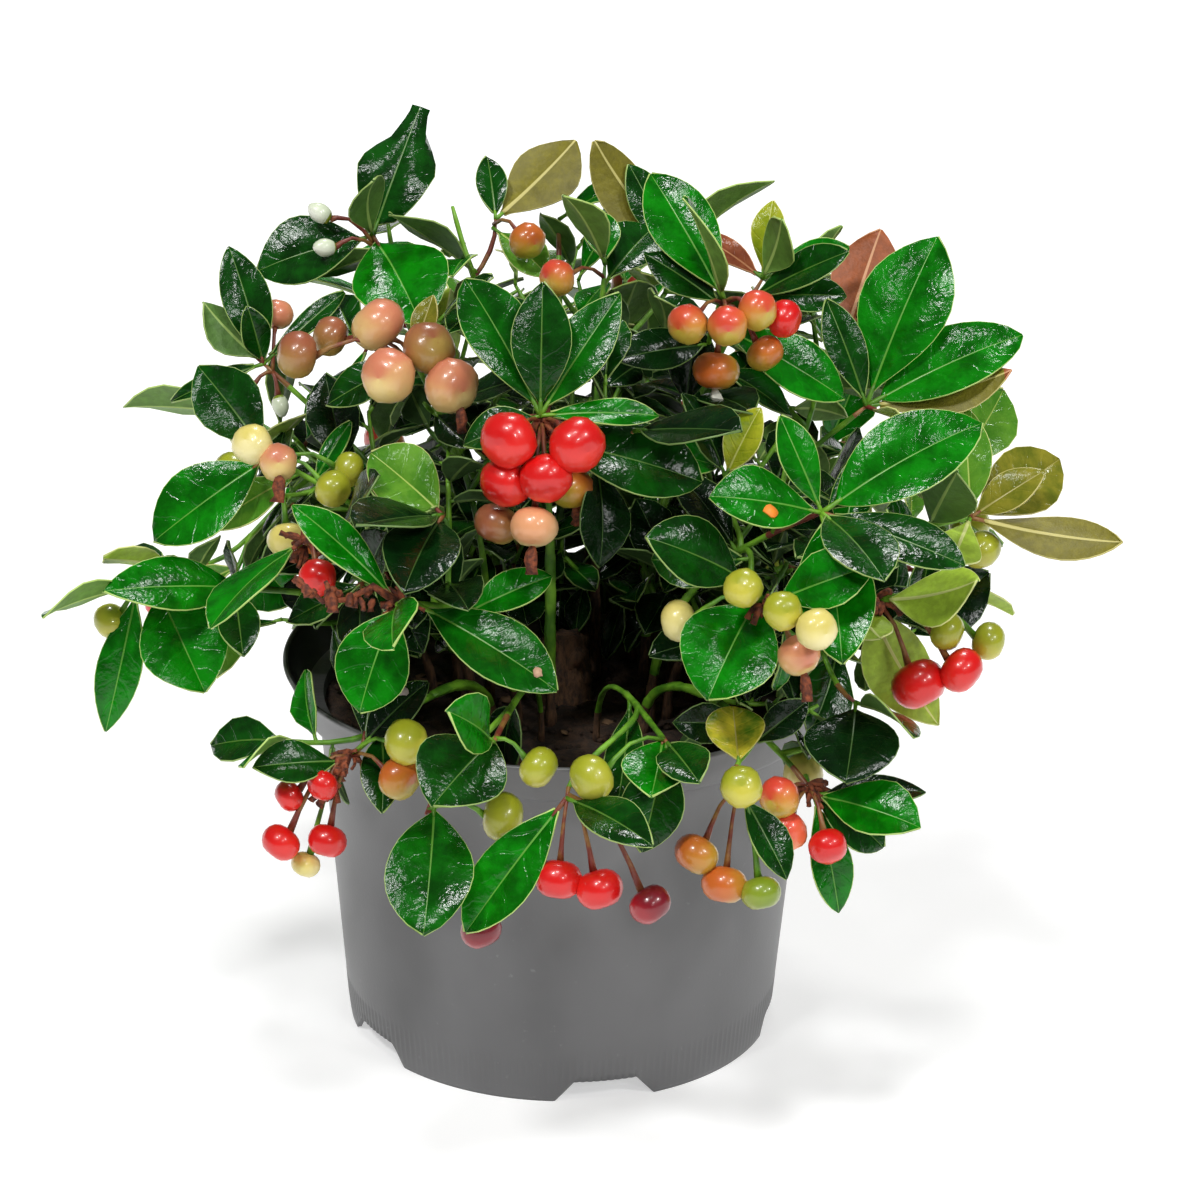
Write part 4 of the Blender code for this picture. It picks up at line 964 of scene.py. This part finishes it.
# Woody crown and boughs: bark with relief, brown below and greener towards the leaves. The radii are shares
# of the solid stem's, or metres for the crown
boughLook = dict(sides=12, rings=26, lump=0.13, sunk=0.0015, flare=0.35, flareShare=0.05, knot=0.04,
                 slim=0.62, slimmer=("front_left", "front_right"), slimmerShare=0.62,
                 browned=0.48, brownedVaries=(0.3, 1.6), frontBrowned=0.24, frontBearing=45,
                 bark=tone(98, 68, 44), barkDark=tone(50, 34, 24), green=tone(118, 172, 44),
                 greenDark=tone(66, 116, 22), red=tone(150, 70, 48), redDark=tone(116, 50, 38),
                 redPale=tone(142, 104, 52))
crownLook = dict(rings=15, sides=20, height=0.016, radius=0.0055, lump=0.16, lean=0.0012, sunk=0.001,
                 swell=1.38, taper=0.62, cap=0.22, stubs=4, firstStub=40, stubTurn=90, stubPitch=48,
                 stubLength=0.0085, stubLift=0.0012, stubSides=10, stubLump=0.14,
                 stubRadii=(0.0026, 0.0025, 0.0022, 0.0020, 0.0018, 0.0013))


def stemFinishes():
    bark = Finish("crownBark", boughLook["bark"], 0.85)
    cracks = bark.grain(1.0, 5.0, 0.7, bark.stretched((700, 700, 220)))
    bark.colour(bark.blendOf(cracks.ramp(0.35, 0.62), boughLook["barkDark"], boughLook["bark"]))
    bark.relief(cracks, 0.9, 0.0010)
    green = Finish("stemGreen", boughLook["green"], 0.42)
    patches = green.grain(160, 3.0).ramp(0.35, 0.65)
    green.colour(green.blendOf(patches, boughLook["greenDark"], boughLook["green"]))
    green.relief(green.grain(1.0, 4.0, 0.6, green.stretched((900, 900, 260))), 0.4, 0.0005)
    red = Finish("stemRed", boughLook["red"], 0.45)
    red.colour(red.blendOf(red.grain(220, 3.0).ramp(0.4, 0.65), boughLook["redDark"], boughLook["redPale"]))
    red.relief(red.grain(900), 0.3, 0.0004)
    return bark, green, red


def makeBoughs(lines, finishes):
    shape = bmesh.new()
    look = boughLook
    shares = [stemSizes["bough"] * step / (look["rings"] - 1) for step in range(look["rings"])]
    flare = [1.0 + look["flare"] * max(0.0, 1.0 - share / look["flareShare"]) for share in shares]
    for number, name in enumerate(shoots):
        bunch = bmesh.new()
        draw = random.Random(300 + number)
        behind = abs(shoots[name][0].bearing) > look["frontBearing"]
        browned = look["browned"] * draw.uniform(*look["brownedVaries"]) if behind else look["frontBrowned"]
        points = [bezier(lines[name][0], share) for share in shares]
        points[0] = points[0] - up * look["sunk"]
        knots = [1.0 + look["knot"] * ((number + step) % 5) for step in range(len(shares))]
        slim = look["slim"] * (look["slimmerShare"] if name in look["slimmer"] else 1.0)
        radii = [stemThickness(share) * slim * wide * knot
                 for share, wide, knot in zip(shares, flare, knots)]
        tubeInto(bunch, points, radii, look["sides"], lump=look["lump"],
                 slotOf=lambda along, browned=browned: 0 if along < browned else 1)
        gather(shape, bunch)
    handOver("boughs", shape, finishes, ["stem_" + name for name in shoots])


def makeCrown(finishes):
    look = crownLook
    shape = bmesh.new()
    foot = Vector((0, 0, potSizes["soilTop"] - look["sunk"]))
    heights = [step / (look["rings"] - 1) for step in range(look["rings"])]
    points = [foot + Vector((look["lean"] * max(0, height - 0.3), 0, look["height"] * height))
              for height in heights]
    radii = [look["radius"] * (look["swell"] - look["taper"] * height ** 0.5 - look["cap"] * height ** 3)
             for height in heights]
    tubeInto(shape, points, radii, look["sides"], lump=look["lump"])
    last = len(look["stubRadii"]) - 1
    for number in range(look["stubs"]):
        bearing = look["firstStub"] + number * look["stubTurn"]
        toward = heading(bearing, look["stubPitch"]) * look["stubLength"]
        base = foot + up * (look["sunk"] + look["height"] * (0.30 + 0.06 * number))
        stub = [base + toward * share + up * look["stubLift"] * share * share
                for share in (step / last for step in range(last + 1))]
        tubeInto(shape, stub, look["stubRadii"], look["stubSides"], lump=look["stubLump"])
    handOver("woodyCrown", shape, finishes, ["crown"])


# Twigs: each shoot beyond its bough, the finer twigs, and a petiole to each leaf
twigLook = dict(sides=7, rings=12, knot=1.12, knotEvery=3, endShare=0.6, reddened=0.62, reddenedStep=0.12,
                fineSides=6, fineRadii=(0.0008, 0.0007, 0.0006, 0.0006, 0.0004), petioleSides=5,
                petioleShare=0.10, petioleRadius=0.00055, petioleLeaf=0.030,
                petioleTaper=((0.0, 1.2), (0.5, 1.0), (1.0, 0.9), (1.35, 0.5)), redFrom=0.25)


def makeTwigs(lines, fineTwigs, leaves, finishes):
    shape = bmesh.new()
    look = twigLook
    draw = random.Random(88)
    for number, name in enumerate(shoots):
        bunch = bmesh.new()
        reddened = (number * 7) % 5 * look["reddenedStep"] + look["reddened"]
        for line in lines[name]:
            onMain = line is lines[name][0]
            start = stemSizes["bough"] if onMain else 0.0
            thickness = stemThickness if onMain else twigThickness
            shares = [start + (1.0 - start) * step / (look["rings"] - 1) for step in range(look["rings"])]
            knots = [1.0 if step % look["knotEvery"] else look["knot"] for step in range(look["rings"])]
            radii = [thickness(share) * knot * boughLook["slim"] for share, knot in zip(shares, knots)]
            radii[-1] *= look["endShare"]
            tubeInto(bunch, [bezier(line, share) for share in shares], radii, look["sides"],
                     slotOf=lambda along, reddened=reddened: 2 if along > reddened else 1)
        for twig in fineTwigs[name]:
            tubeInto(bunch, [bezier(twig, share) for share in quarters], look["fineRadii"], look["fineSides"],
                     slot=1)
        for leaf in leaves[name]:
            reach = leaf.toward * leaf.length * look["petioleShare"]
            radius = look["petioleRadius"] * (0.6 + 0.4 * leaf.length / look["petioleLeaf"])
            tubeInto(bunch, [leaf.root + reach * share for share, wide in look["petioleTaper"]],
                     [radius * wide for share, wide in look["petioleTaper"]], look["petioleSides"],
                     slot=2 if draw.random() < look["redFrom"] else 1)
        gather(shape, bunch)
    handOver("twigs", shape, finishes)


# Leaves: a folded, cupped blade with a pale midrib, a pale margin strip that paints the highlight of the
# leaf's translucent rim, and a paler underside
leafLook = dict(columns=8, posedRows=12, dealtRows=8, fineRows=6, thickness=0.00038, petiole=0.09,
                midrib=0.00024, margin=0.00015, widestStrip=0.3, widest=(1.02, 1.38), fullness=(0.62, 0.82),
                rootHalf=0.0005, tipHalf=0.00018, cup=0.35, valley=0.00025, ripple=0.0006, waves=(1.2, 2.6),
                lean=(-0.05, 0.05), curl=(-0.03, 0.16), curlFrom=0.72, endRows=0.4, turnedFrom=0.88,
                rollFrom=0.4, rollSpan=0.45, rollEnd=0.93, rollFullness=0.5)

# Tones of a leaf: its blade where dark and where light, its underside, its midrib and its margin, the last a
# painted rim highlight that also colours the underside midrib
leafTones = dict(
    # the dark set is painted shade: a near-black green for leaves that stand in shade
    dark=tones((6, 26, 7), (9, 44, 10), (60, 92, 44), (58, 88, 36), (110, 138, 74)),
    deep=tones((8, 44, 6), (12, 76, 9), (86, 126, 52), (78, 118, 40), (150, 176, 96)),
    mid=tones((7, 62, 5), (11, 100, 8), (98, 140, 56), (86, 138, 46), (164, 192, 104)),
    bright=tones((5, 82, 3), (10, 130, 8), (110, 154, 60), (92, 156, 52), (178, 206, 112)),
    light=tones((64, 122, 30), (100, 152, 46), (168, 200, 58), (160, 184, 84), (206, 214, 132)),
    olive=tones((92, 100, 26), (136, 130, 40), (126, 118, 20), (160, 152, 78), (196, 186, 112)),
    young=tones((120, 142, 20), (174, 178, 44), (170, 180, 60), (196, 200, 104), (220, 216, 140)),
    spotted=tones((70, 110, 20), (206, 190, 52), (160, 160, 70), (170, 160, 60), (200, 190, 100)),
    bronze=tones((122, 60, 42), (164, 96, 62), (164, 86, 42), (180, 122, 80), (206, 150, 108)))


def bladeFinish(name, low, high):
    blade = Finish("blade" + name.title(), high, 0.16, specular_ior_level=0.3)
    across = (blade.uv().part(0) - 0.5).size() * 2.0
    along = blade.uv().part(1)
    sway = blade.grain(180, 2.0, 0.5) * 0.9
    veins = ((along * 6.0 - across * 1.9 + sway) * (2 * math.pi)).sine().ramp(0.80, 1.0)
    mottle = blade.grain(150, 4.0, 0.6).ramp(0.32, 0.68)
    fine = blade.grain(1300, 2.5, 0.6)
    quilt = blade.grain(330, 2.0, 0.5)
    blade.colour(blade.blendOf((mottle * 0.88 + veins * 0.12), low, high))
    blade.gloss(0.13 + mottle * 0.08)
    blade.relief(fine * 0.32 + quilt * 1.0 - veins * 0.2, 1.0, 0.00030)
    return blade


def undersideFinish(name, colour):
    under = Finish("under" + name.title(), colour, 0.55)
    speckle = under.grain(420, 4.0, 0.6).ramp(0.35, 0.7)
    under.colour(under.blendOf(speckle, [value * 0.74 for value in colour], colour))
    under.relief(under.grain(700, 3.0), 0.35, 0.0006)
    return under


# Blade, midrib and margin of each tone, the margin in its painted rim highlight, then the same for the
# undersides, then the scars
def leafFinishes():
    tops, unders = [], []
    for name, (low, high, under, ribTone, rimHighlightAndUnderRibTone) in leafTones.items():
        # the margin finish paints the highlight along the leaf's translucent rim, on top and underneath
        rim = Finish("margin" + name.title(), rimHighlightAndUnderRibTone, 0.35)
        tops += [bladeFinish(name, low, high), Finish("rib" + name.title(), ribTone, 0.3), rim]
        unders += [undersideFinish(name, under), Finish("underRib" + name.title(), rimHighlightAndUnderRibTone, 0.5), rim]
    worn = [Finish("scar" + word.title(), colour, 0.6) for word, colour in scarTones.items()]
    return tops + unders + worn


# Age on single leaves, by shoot and leaf: a tip that has turned, one rolled up by so many degrees, and scars
# by run, place across, size and tone
turnedTips = {("right_high", 3): "bronze"}
rolledTips = {("top_left", 0): 150}
scars = {("right_middle", 1): (0.47, -0.40, 0.26, "orange"), ("knee_left", 1): (0.84, -0.15, 0.24, "tan"),
         ("skirt_left", 2): (0.72, -0.50, 0.34, "grey")}
scarTones = dict(orange=tone(246, 140, 40), tan=tone(196, 158, 128), grey=tone(170, 158, 152))


def bladeHalf(share, widest, fullness):
    return math.sin(math.pi * min(max(share, 0.0), 1.0) ** widest) ** fullness


def leafInto(shape, leaf, tip, scar, rolled, draw):
    look, kinds = leafLook, list(leafTones)
    made = bmesh.ops.create_grid(shape, x_segments=look["columns"], y_segments=leaf.rows, size=0.5,
                                 calc_uvs=True)["verts"]
    for face in {face for vert in made for face in vert.link_faces}:
        middle = face.calc_center_median()
        out = abs(middle.x) * 2
        # columns at the midrib take the rib slot, and those at the edge the margin slot with its painted rim
        # highlight
        strip = 1 if out < 0.25 else 2 if out > 0.75 else 0
        turned = tip and middle.y + 0.5 > look["turnedFrom"]
        face.material_index = kinds.index(tip if turned else leaf.tint) * 3 + strip
    side = leaf.toward.cross(leaf.face).normalized()
    face = side.cross(leaf.toward).normalized()
    bend, fold = math.radians(leaf.bend), math.radians(leaf.fold)
    widest = leafSizes["upperBreadth"] * leaf.breadth * leaf.length
    wave, waves, curl = draw.uniform(0, 6.3), draw.uniform(*look["waves"]), draw.uniform(*look["curl"])
    lean, place, full = (draw.uniform(*look[key]) for key in ("lean", "widest", "fullness"))
    full *= look["rollFullness"] if rolled else 1.0

    def halfWidth(run):
        spread = bladeHalf(min(run, look["rollEnd"]) if rolled else run, place, full)
        return max(widest * spread, look["rootHalf"] if run < 0.5 else look["tipHalf"])

    def bladePoint(across, run):
        share = look["petiole"] + (1.0 - look["petiole"]) * run
        out, hand = abs(across), 1 if across > 0 else -1
        half = halfWidth(run)
        reach = out * half
        dip = bend * max(share - leafSizes["lower"], 0.0) / 2
        middle = leaf.root + (leaf.toward * math.cos(dip) - face * math.sin(dip)) * leaf.length * share
        drop = curl * leaf.length * max(0.0, run - look["curlFrom"]) ** 2
        rippled = math.sin(waves * math.pi * run + wave * (1 if hand > 0 else 1.6))
        ripple = look["ripple"] * out * out * rippled
        valley = 0.0 if out else look["valley"] * (1.0 - run)
        rise = reach * math.sin(fold) * (1.0 - look["cup"] * out * out) + ripple - valley - drop
        sway = side * lean * leaf.length * run * run
        if rolled and run > look["rollFrom"]:
            arc = math.radians(rolled) * min((run - look["rollFrom"]) / look["rollSpan"], 1.0)
            rise -= half * (1.0 - math.cos(out * arc)) / arc
            reach = half * math.sin(out * arc) / arc
        return middle + side * hand * reach * math.cos(fold) + face * rise + sway

    # the grid's rows crowd towards both ends, and its columns towards the midrib and the margin
    for vert in made:
        run = vert.co.y + 0.5
        run += look["endRows"] * (0.5 - 0.5 * math.cos(math.pi * run) - run)
        half = halfWidth(run)
        rib = min(look["midrib"] * (1.1 - 0.8 * run) / half, look["widestStrip"])
        rim = 1.0 - min(look["margin"] / half, look["widestStrip"])
        out = (0.0, rib, (rib + rim) / 2, rim, 1.0)[round(abs(vert.co.x) * look["columns"])]
        vert.co = bladePoint(math.copysign(out, vert.co.x), run)
    if scar:
        run, across, size, word = scar
        patch = bmesh.ops.create_circle(shape, cap_ends=True, segments=11, radius=size)["verts"]
        for vert in patch:
            ragged = draw.uniform(0.7, 1.15)
            long = vert.co.y * ragged * halfWidth(run) / leaf.length
            vert.co = bladePoint(across + vert.co.x * ragged, run + long) + face * 0.0003
        for skin in {skin for vert in patch for skin in vert.link_faces}:
            skin.material_index = 6 * len(kinds) + list(scarTones).index(word)


regions = dict(
    crownTop=("top_left", "top_back", "top_middle", "shoulder_right", "back_high", "back_left_high",
              "back_right_high"),
    leftSide=("left_low", "left_middle", "far_left", "left_high", "upper_left", "back_left", "back_left_low"),
    front=("centre", "knee_left", "front_left", "front_right", "skirt_left", "skirt_right"),
    rightSide=("right_high", "right_middle", "right_low", "far_right", "right_skirt", "back_far_right"),
    backSide=("back_low", "back_right"))


def makeLeaves(leaves):
    finishes = leafFinishes()
    draw = random.Random(99)
    for region, names in regions.items():
        shape = bmesh.new()
        for name in names:
            bunch = bmesh.new()
            bunch.loops.layers.uv.new("UVMap")
            for index, leaf in enumerate(leaves[name]):
                marks = (age.get((name, index)) for age in (turnedTips, scars, rolledTips))
                leafInto(bunch, leaf, *marks, draw)
            gather(shape, bunch)
        piece = handOver("leaves" + region[0].upper() + region[1:], shape, finishes,
                         ["leaves_" + name for name in names], outward=False)
        wall = piece.modifiers.new("Thickness", "SOLIDIFY")
        wall.thickness = leafLook["thickness"]
        wall.offset = -1.0
        wall.material_offset = 3 * len(leafTones)


# Berries: a dimple at the stalk, and a five-lobed star at the far end
berryLook = dict(segments=15, rings=10, fill=1.06, dimple=0.16, dimpleBelow=-0.6, dimpleReach=0.8,
                 star=0.13, starAbove=0.6, starReach=0.75, starRim=0.04, starHeart=0.15, lobes=0.06,
                 oval=0.03, bud=(0.56, 0.86), budMouth=0.5, calyxBelow=-0.45, stalkBow=0.22, stalkEnd=0.72,
                 stalkSides=6, stalkRadii=(0.00055, 0.00045, 0.00045, 0.0006, 0.0009))
berryTones = dict(
    red=tones((206, 14, 14), (232, 44, 34)), darkRed=tones((112, 10, 26), (176, 26, 36)),
    blush=tones((214, 62, 48), (196, 172, 64)), coral=tones((222, 66, 48), (244, 150, 96)),
    peach=tones((206, 122, 92), (226, 198, 126)), orange=tones((192, 92, 34), (176, 160, 50)),
    pale=tones((216, 200, 104), (238, 226, 164)), cream=tones((224, 158, 112), (232, 206, 150)),
    yellow=tones((154, 160, 34), (198, 190, 70)), green=tones((120, 142, 30), (172, 172, 58)),
    brown=tones((150, 84, 56), (170, 140, 70)), bud=tones((206, 216, 186), (240, 242, 228)))
ripeMix = dict(turning=("blush", "coral", "orange"), unripe=("yellow", "green", "yellow"),
               split=("red", "red", "yellow", "green"), mixed=("yellow", "red", "blush", "green"))


def berryFinishes():
    made = []
    for name, (low, high) in berryTones.items():
        skin = Finish("berry" + name[0].upper() + name[1:], high, 0.24, coat_weight=0.35, coat_roughness=0.08)
        around, along = skin.uv().part(0), skin.uv().part(1)
        sunned = (around * (2 * math.pi)).sine() * 0.34 + along * 0.1 + skin.grain(140, 2.0, 0.5) * 0.5
        freckle = skin.grain(900, 3.0).ramp(0.62, 0.74)
        skin.colour(skin.blendOf(freckle * 0.25, skin.blendOf(sunned.ramp(-0.12, 0.72), low, high), low))
        skin.gloss(0.24 + skin.grain(300) * 0.16)
        skin.relief(skin.grain(700, 2.0), 0.15, 0.0005)
        made.append(skin)
    withered = Finish("witheredFlower", witheredLook["brown"], 0.8)
    patches = withered.grain(700, 4.0).ramp(0.35, 0.65)
    withered.colour(withered.blendOf(patches, witheredLook["dark"], witheredLook["brown"]))
    withered.relief(withered.grain(1600, 3.0), 0.8, 0.0005)
    return made + [withered, Finish("petal", witheredLook["petal"], 0.5)]


def berryInto(shape, centre, toward, radius, kind, draw):
    look, kinds = berryLook, list(berryTones)
    closed = kind == "bud"
    wide, tall = look["bud"] if closed else (1.0, berrySizes["flatness"])
    made = bmesh.ops.create_uvsphere(shape, u_segments=look["segments"], v_segments=look["rings"], radius=1.0,
                                     calc_uvs=True)
    spin = draw.uniform(0, 6.28)
    for vert in made["verts"]:
        level = math.hypot(vert.co.x, vert.co.y)
        around = math.atan2(vert.co.y, vert.co.x)
        pole = vert.co.z
        lobes = 0.5 + 0.5 * math.cos(5 * around + spin)
        if pole < look["dimpleBelow"]:
            vert.co.z += look["dimple"] * max(0.0, 1.0 - level / look["dimpleReach"])
        if pole > look["starAbove"] and level < look["starReach"]:
            out = level / look["starReach"]
            vert.co.z -= look["star"] * (1.0 - out) - look["starRim"] * lobes * out
        mouth = 1.0 - look["budMouth"] * max(0.0, pole) ** 2 if closed else 1.0
        swell = mouth * (1.0 + look["lobes"] * lobes * level)
        vert.co.x *= swell * (1.0 + look["oval"] * math.cos(2 * around + spin))
        vert.co.y *= swell
    for face in {face for vert in made["verts"] for face in vert.link_faces}:
        middle = face.calc_center_median()
        heart = middle.z > 0.5 and math.hypot(middle.x, middle.y) < look["starHeart"] and not closed
        calyx = closed and middle.z < look["calyxBelow"]
        face.material_index = len(kinds) if heart else kinds.index("green" if calyx else kind)
    turn = toward.to_track_quat('Z', 'Y').to_matrix().to_4x4()
    scale = Matrix.Diagonal((wide * radius, wide * radius, tall * radius, 1))
    bmesh.ops.transform(shape, verts=made["verts"], matrix=Matrix.Translation(centre) @ turn @ scale)


# Withered flowers: a crumpled tube that hangs on at a berry's tip, or a knot of them at the end of a shoot
witheredLook = dict(hanging=dict(centre=(4, 6), upper_left=(2,), right_middle=(3,), left_middle=(1,)),
                    fresh=dict(shoulder_right=(4,)), flower=(0.0065, 0.0013), crumple=(-0.35, 0.35), sag=0.25,
                    taper=(0.45, 0.9, 1.0, 0.8, 0.95), sides=7, lump=0.5,
                    knots=dict(centre=0, skirt_right=0, left_low=0, knee_left=0, right_middle=1, skirt_left=0,
                               right_low=0), knotBits=16, knotForward=(-0.2, 0.9), knotBack=(0.0, 0.004),
                    knotSpan=(0.003, 0.0065), knotWidth=(0.0004, 0.0010),
                    sprays=dict(knee_left=(-82, 12, 0.022), skirt_left=(-40, -40, 0.010)), sprayBits=14,
                    sprayRadii=(0.0010, 0.0008, 0.0007, 0.0006, 0.0004), sprayWave=0.003,
                    sprayAlong=(0.1, 1.0), spraySpan=(0.0025, 0.0045), sprayWidth=(0.0005, 0.0011),
                    brown=tone(146, 74, 42), dark=tone(74, 34, 22), petal=tone(236, 236, 220))


def crumpledInto(shape, root, toward, span, width, slot, draw):
    look = witheredLook
    way = toward
    points = [root]
    for share in look["taper"][1:]:
        swerve = Vector([draw.uniform(*look["crumple"]) for axis in range(3)])
        way = (way + swerve - up * look["sag"]).normalized()
        points.append(points[-1] + way * span / (len(look["taper"]) - 1))
    radii = [width * share for share in look["taper"]]
    tubeInto(shape, points, radii, look["sides"], slot=slot, lump=look["lump"])


def knotInto(shape, line, slot, draw):
    look, end, axis = witheredLook, line[3], tangent(line, 1.0)
    for number in range(look["knotBits"]):
        out = turnedAbout(axis.orthogonal().normalized(), axis, draw.uniform(0, 360))
        toward = (axis * draw.uniform(*look["knotForward"]) + out + heading(0, 0) * 0.3).normalized()
        crumpledInto(shape, end - axis * draw.uniform(*look["knotBack"]), toward,
                     draw.uniform(*look["knotSpan"]), draw.uniform(*look["knotWidth"]), slot, draw)


# A dried flower stalk with its crumpled flowers all along it
def sprayInto(shape, root, toward, slot, draw):
    look = witheredLook
    points = [root + toward * share + up * look["sprayWave"] * math.sin(share * 7) for share in quarters]
    tubeInto(shape, points, look["sprayRadii"], 6, slot=slot, lump=0.3)
    for number in range(look["sprayBits"]):
        out = turnedAbout(toward.orthogonal().normalized(), toward.normalized(), draw.uniform(0, 360))
        crumpledInto(shape, root + toward * draw.uniform(*look["sprayAlong"]), out,
                     draw.uniform(*look["spraySpan"]), draw.uniform(*look["sprayWidth"]), slot, draw)


# A stalk bows up between the shoot and its berry, and widens where it meets the berry
def stalkInto(shape, root, end, slot):
    bow = up * (end - root).length * berryLook["stalkBow"]
    points = [root.lerp(end, share) + bow * lift
              for share, lift in ((0.0, 0.0), (0.3, 0.8), (0.6, 1.0), (0.85, 0.5), (1.0, 0.0))]
    tubeInto(shape, points, berryLook["stalkRadii"], berryLook["stalkSides"], slot=slot)


def makeBerries(lines, berries, stemLooks):
    finishes = berryFinishes()
    brown, petal = len(berryTones), len(berryTones) + 1
    allFruit, allStalks = bmesh.new(), bmesh.new()
    draw = random.Random(55)
    for name in shoots:
        fruit, stalks = bmesh.new(), bmesh.new()
        fruit.loops.layers.uv.new("UVMap")
        if name in witheredLook["knots"]:
            knotInto(fruit, lines[name][witheredLook["knots"][name]], brown, draw)
        if name in witheredLook["sprays"]:
            bearing, pitch, reach = witheredLook["sprays"][name]
            sprayInto(fruit, lines[name][0][3], heading(bearing, pitch) * reach, brown, random.Random(12))
        for index, berry in enumerate(berries[name]):
            kind = draw.choice(ripeMix.get(berry.ripeness, (berry.ripeness,)))
            centre, size = berryCentre(berry), berry.radius * berryLook["fill"]
            berryInto(fruit, centre, berry.toward, size, kind, draw)
            hung = (berry.toward - up).normalized()
            for key, slot in (("hanging", brown), ("fresh", petal)):
                if index in witheredLook[key].get(name, ()):
                    crumpledInto(fruit, centre + hung * size * 0.8, hung, *witheredLook["flower"], slot, draw)
            stalkInto(stalks, berry.root, centre - berry.toward * size * berryLook["stalkEnd"],
                      1 if kind in ("yellow", "green", "pale") else 2)
        gather(allFruit, fruit)
        gather(allStalks, stalks)
    handOver("berries", allFruit, finishes)
    handOver("berryStalks", allStalks, stemLooks)


# Camera at the photo's angle, broad soft lights by bearing, pitch, spread and strength, and a pale floor
studio = dict(elevation=22.0, distance=1.032, target=(0.008, 0.0, 0.1035), roll=0.85, lens=134.6, sensor=36.0,
              floor=tone(205, 205, 205), glow=0.50, world=0.10,
              lights=dict(keyLight=(-34, 54, 8, 1.5), browLight=(-6, 68, 8, 0.7), rightLight=(54, 40, 8, 0.9),
                          frontLight=(24, 32, 6, 0.45), backLight=(170, 60, 12, 1.2)))


def makeCamera():
    back = heading(0, studio["elevation"])
    right = (-back).cross(up).normalized()
    above = right.cross(-back)
    roll = math.radians(studio["roll"])
    across = right * math.cos(roll) + above * math.sin(roll)
    upward = above * math.cos(roll) - right * math.sin(roll)
    data = bpy.data.cameras.new("photoCamera")
    data.lens = studio["lens"]
    data.sensor_width = studio["sensor"]
    camera = bpy.data.objects.new("photoCamera", data)
    turn = Matrix((across, upward, back)).transposed().to_4x4()
    camera.matrix_world = Matrix.Translation(Vector(studio["target"]) + back * studio["distance"]) @ turn
    bpy.context.scene.collection.objects.link(camera)
    bpy.context.scene.camera = camera


def softLight(name, bearing, pitch, spread, strength):
    data = bpy.data.lights.new(name, "SUN")
    data.energy = strength
    data.angle = math.radians(spread)
    light = bpy.data.objects.new(name, data)
    light.matrix_world = heading(bearing, pitch).to_track_quat('Z', 'Y').to_matrix().to_4x4()
    bpy.context.scene.collection.objects.link(light)


def makeStudio():
    for name, place in studio["lights"].items():
        softLight(name, *place)
    world = bpy.data.worlds.new("paleRoom")
    bpy.context.scene.world = world
    world.use_nodes = True
    sky = world.node_tree.nodes["Background"]
    sky.inputs["Color"].default_value = (1, 1, 1, 1)
    sky.inputs["Strength"].default_value = studio["world"]
    shape = bmesh.new()
    bmesh.ops.create_grid(shape, x_segments=1, y_segments=1, size=4.0)
    mesh = bpy.data.meshes.new("paleFloor")
    shape.to_mesh(mesh)
    shape.free()
    pale = Finish("paleFloor", studio["floor"], 0.9, emission_color=(1, 1, 1, 1),
                  emission_strength=studio["glow"])
    mesh.materials.append(pale.material)
    floor = bpy.data.objects.new("paleFloor", mesh)
    bpy.context.scene.collection.objects.link(floor)
    bpy.context.scene.view_settings.view_transform = "Standard"


def main():
    makeCamera()
    makeStudio()
    thicket = Thicket()
    lines, leaves, berries = growSolids(thicket)
    print("grown:", sum(map(len, leaves.values())), "leaves and", sum(map(len, berries.values())), "berries")
    fineTwigs = growFine(thicket, lines, leaves, berries)
    dealTints(leaves)
    print("with finer growth:", sum(map(len, leaves.values())), "leaves, and",
          sum(map(len, fineTwigs.values())), "more twigs")
    stemLooks = stemFinishes()
    makePot()
    makeRootBall()
    makeBoughs(lines, stemLooks)
    makeCrown(stemLooks)
    makeTwigs(lines, fineTwigs, leaves, stemLooks)
    print("pot, peat and wood made")
    makeLeaves(leaves)
    makeBerries(lines, berries, stemLooks)
    print("leaves and berries made")
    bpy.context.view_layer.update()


main()
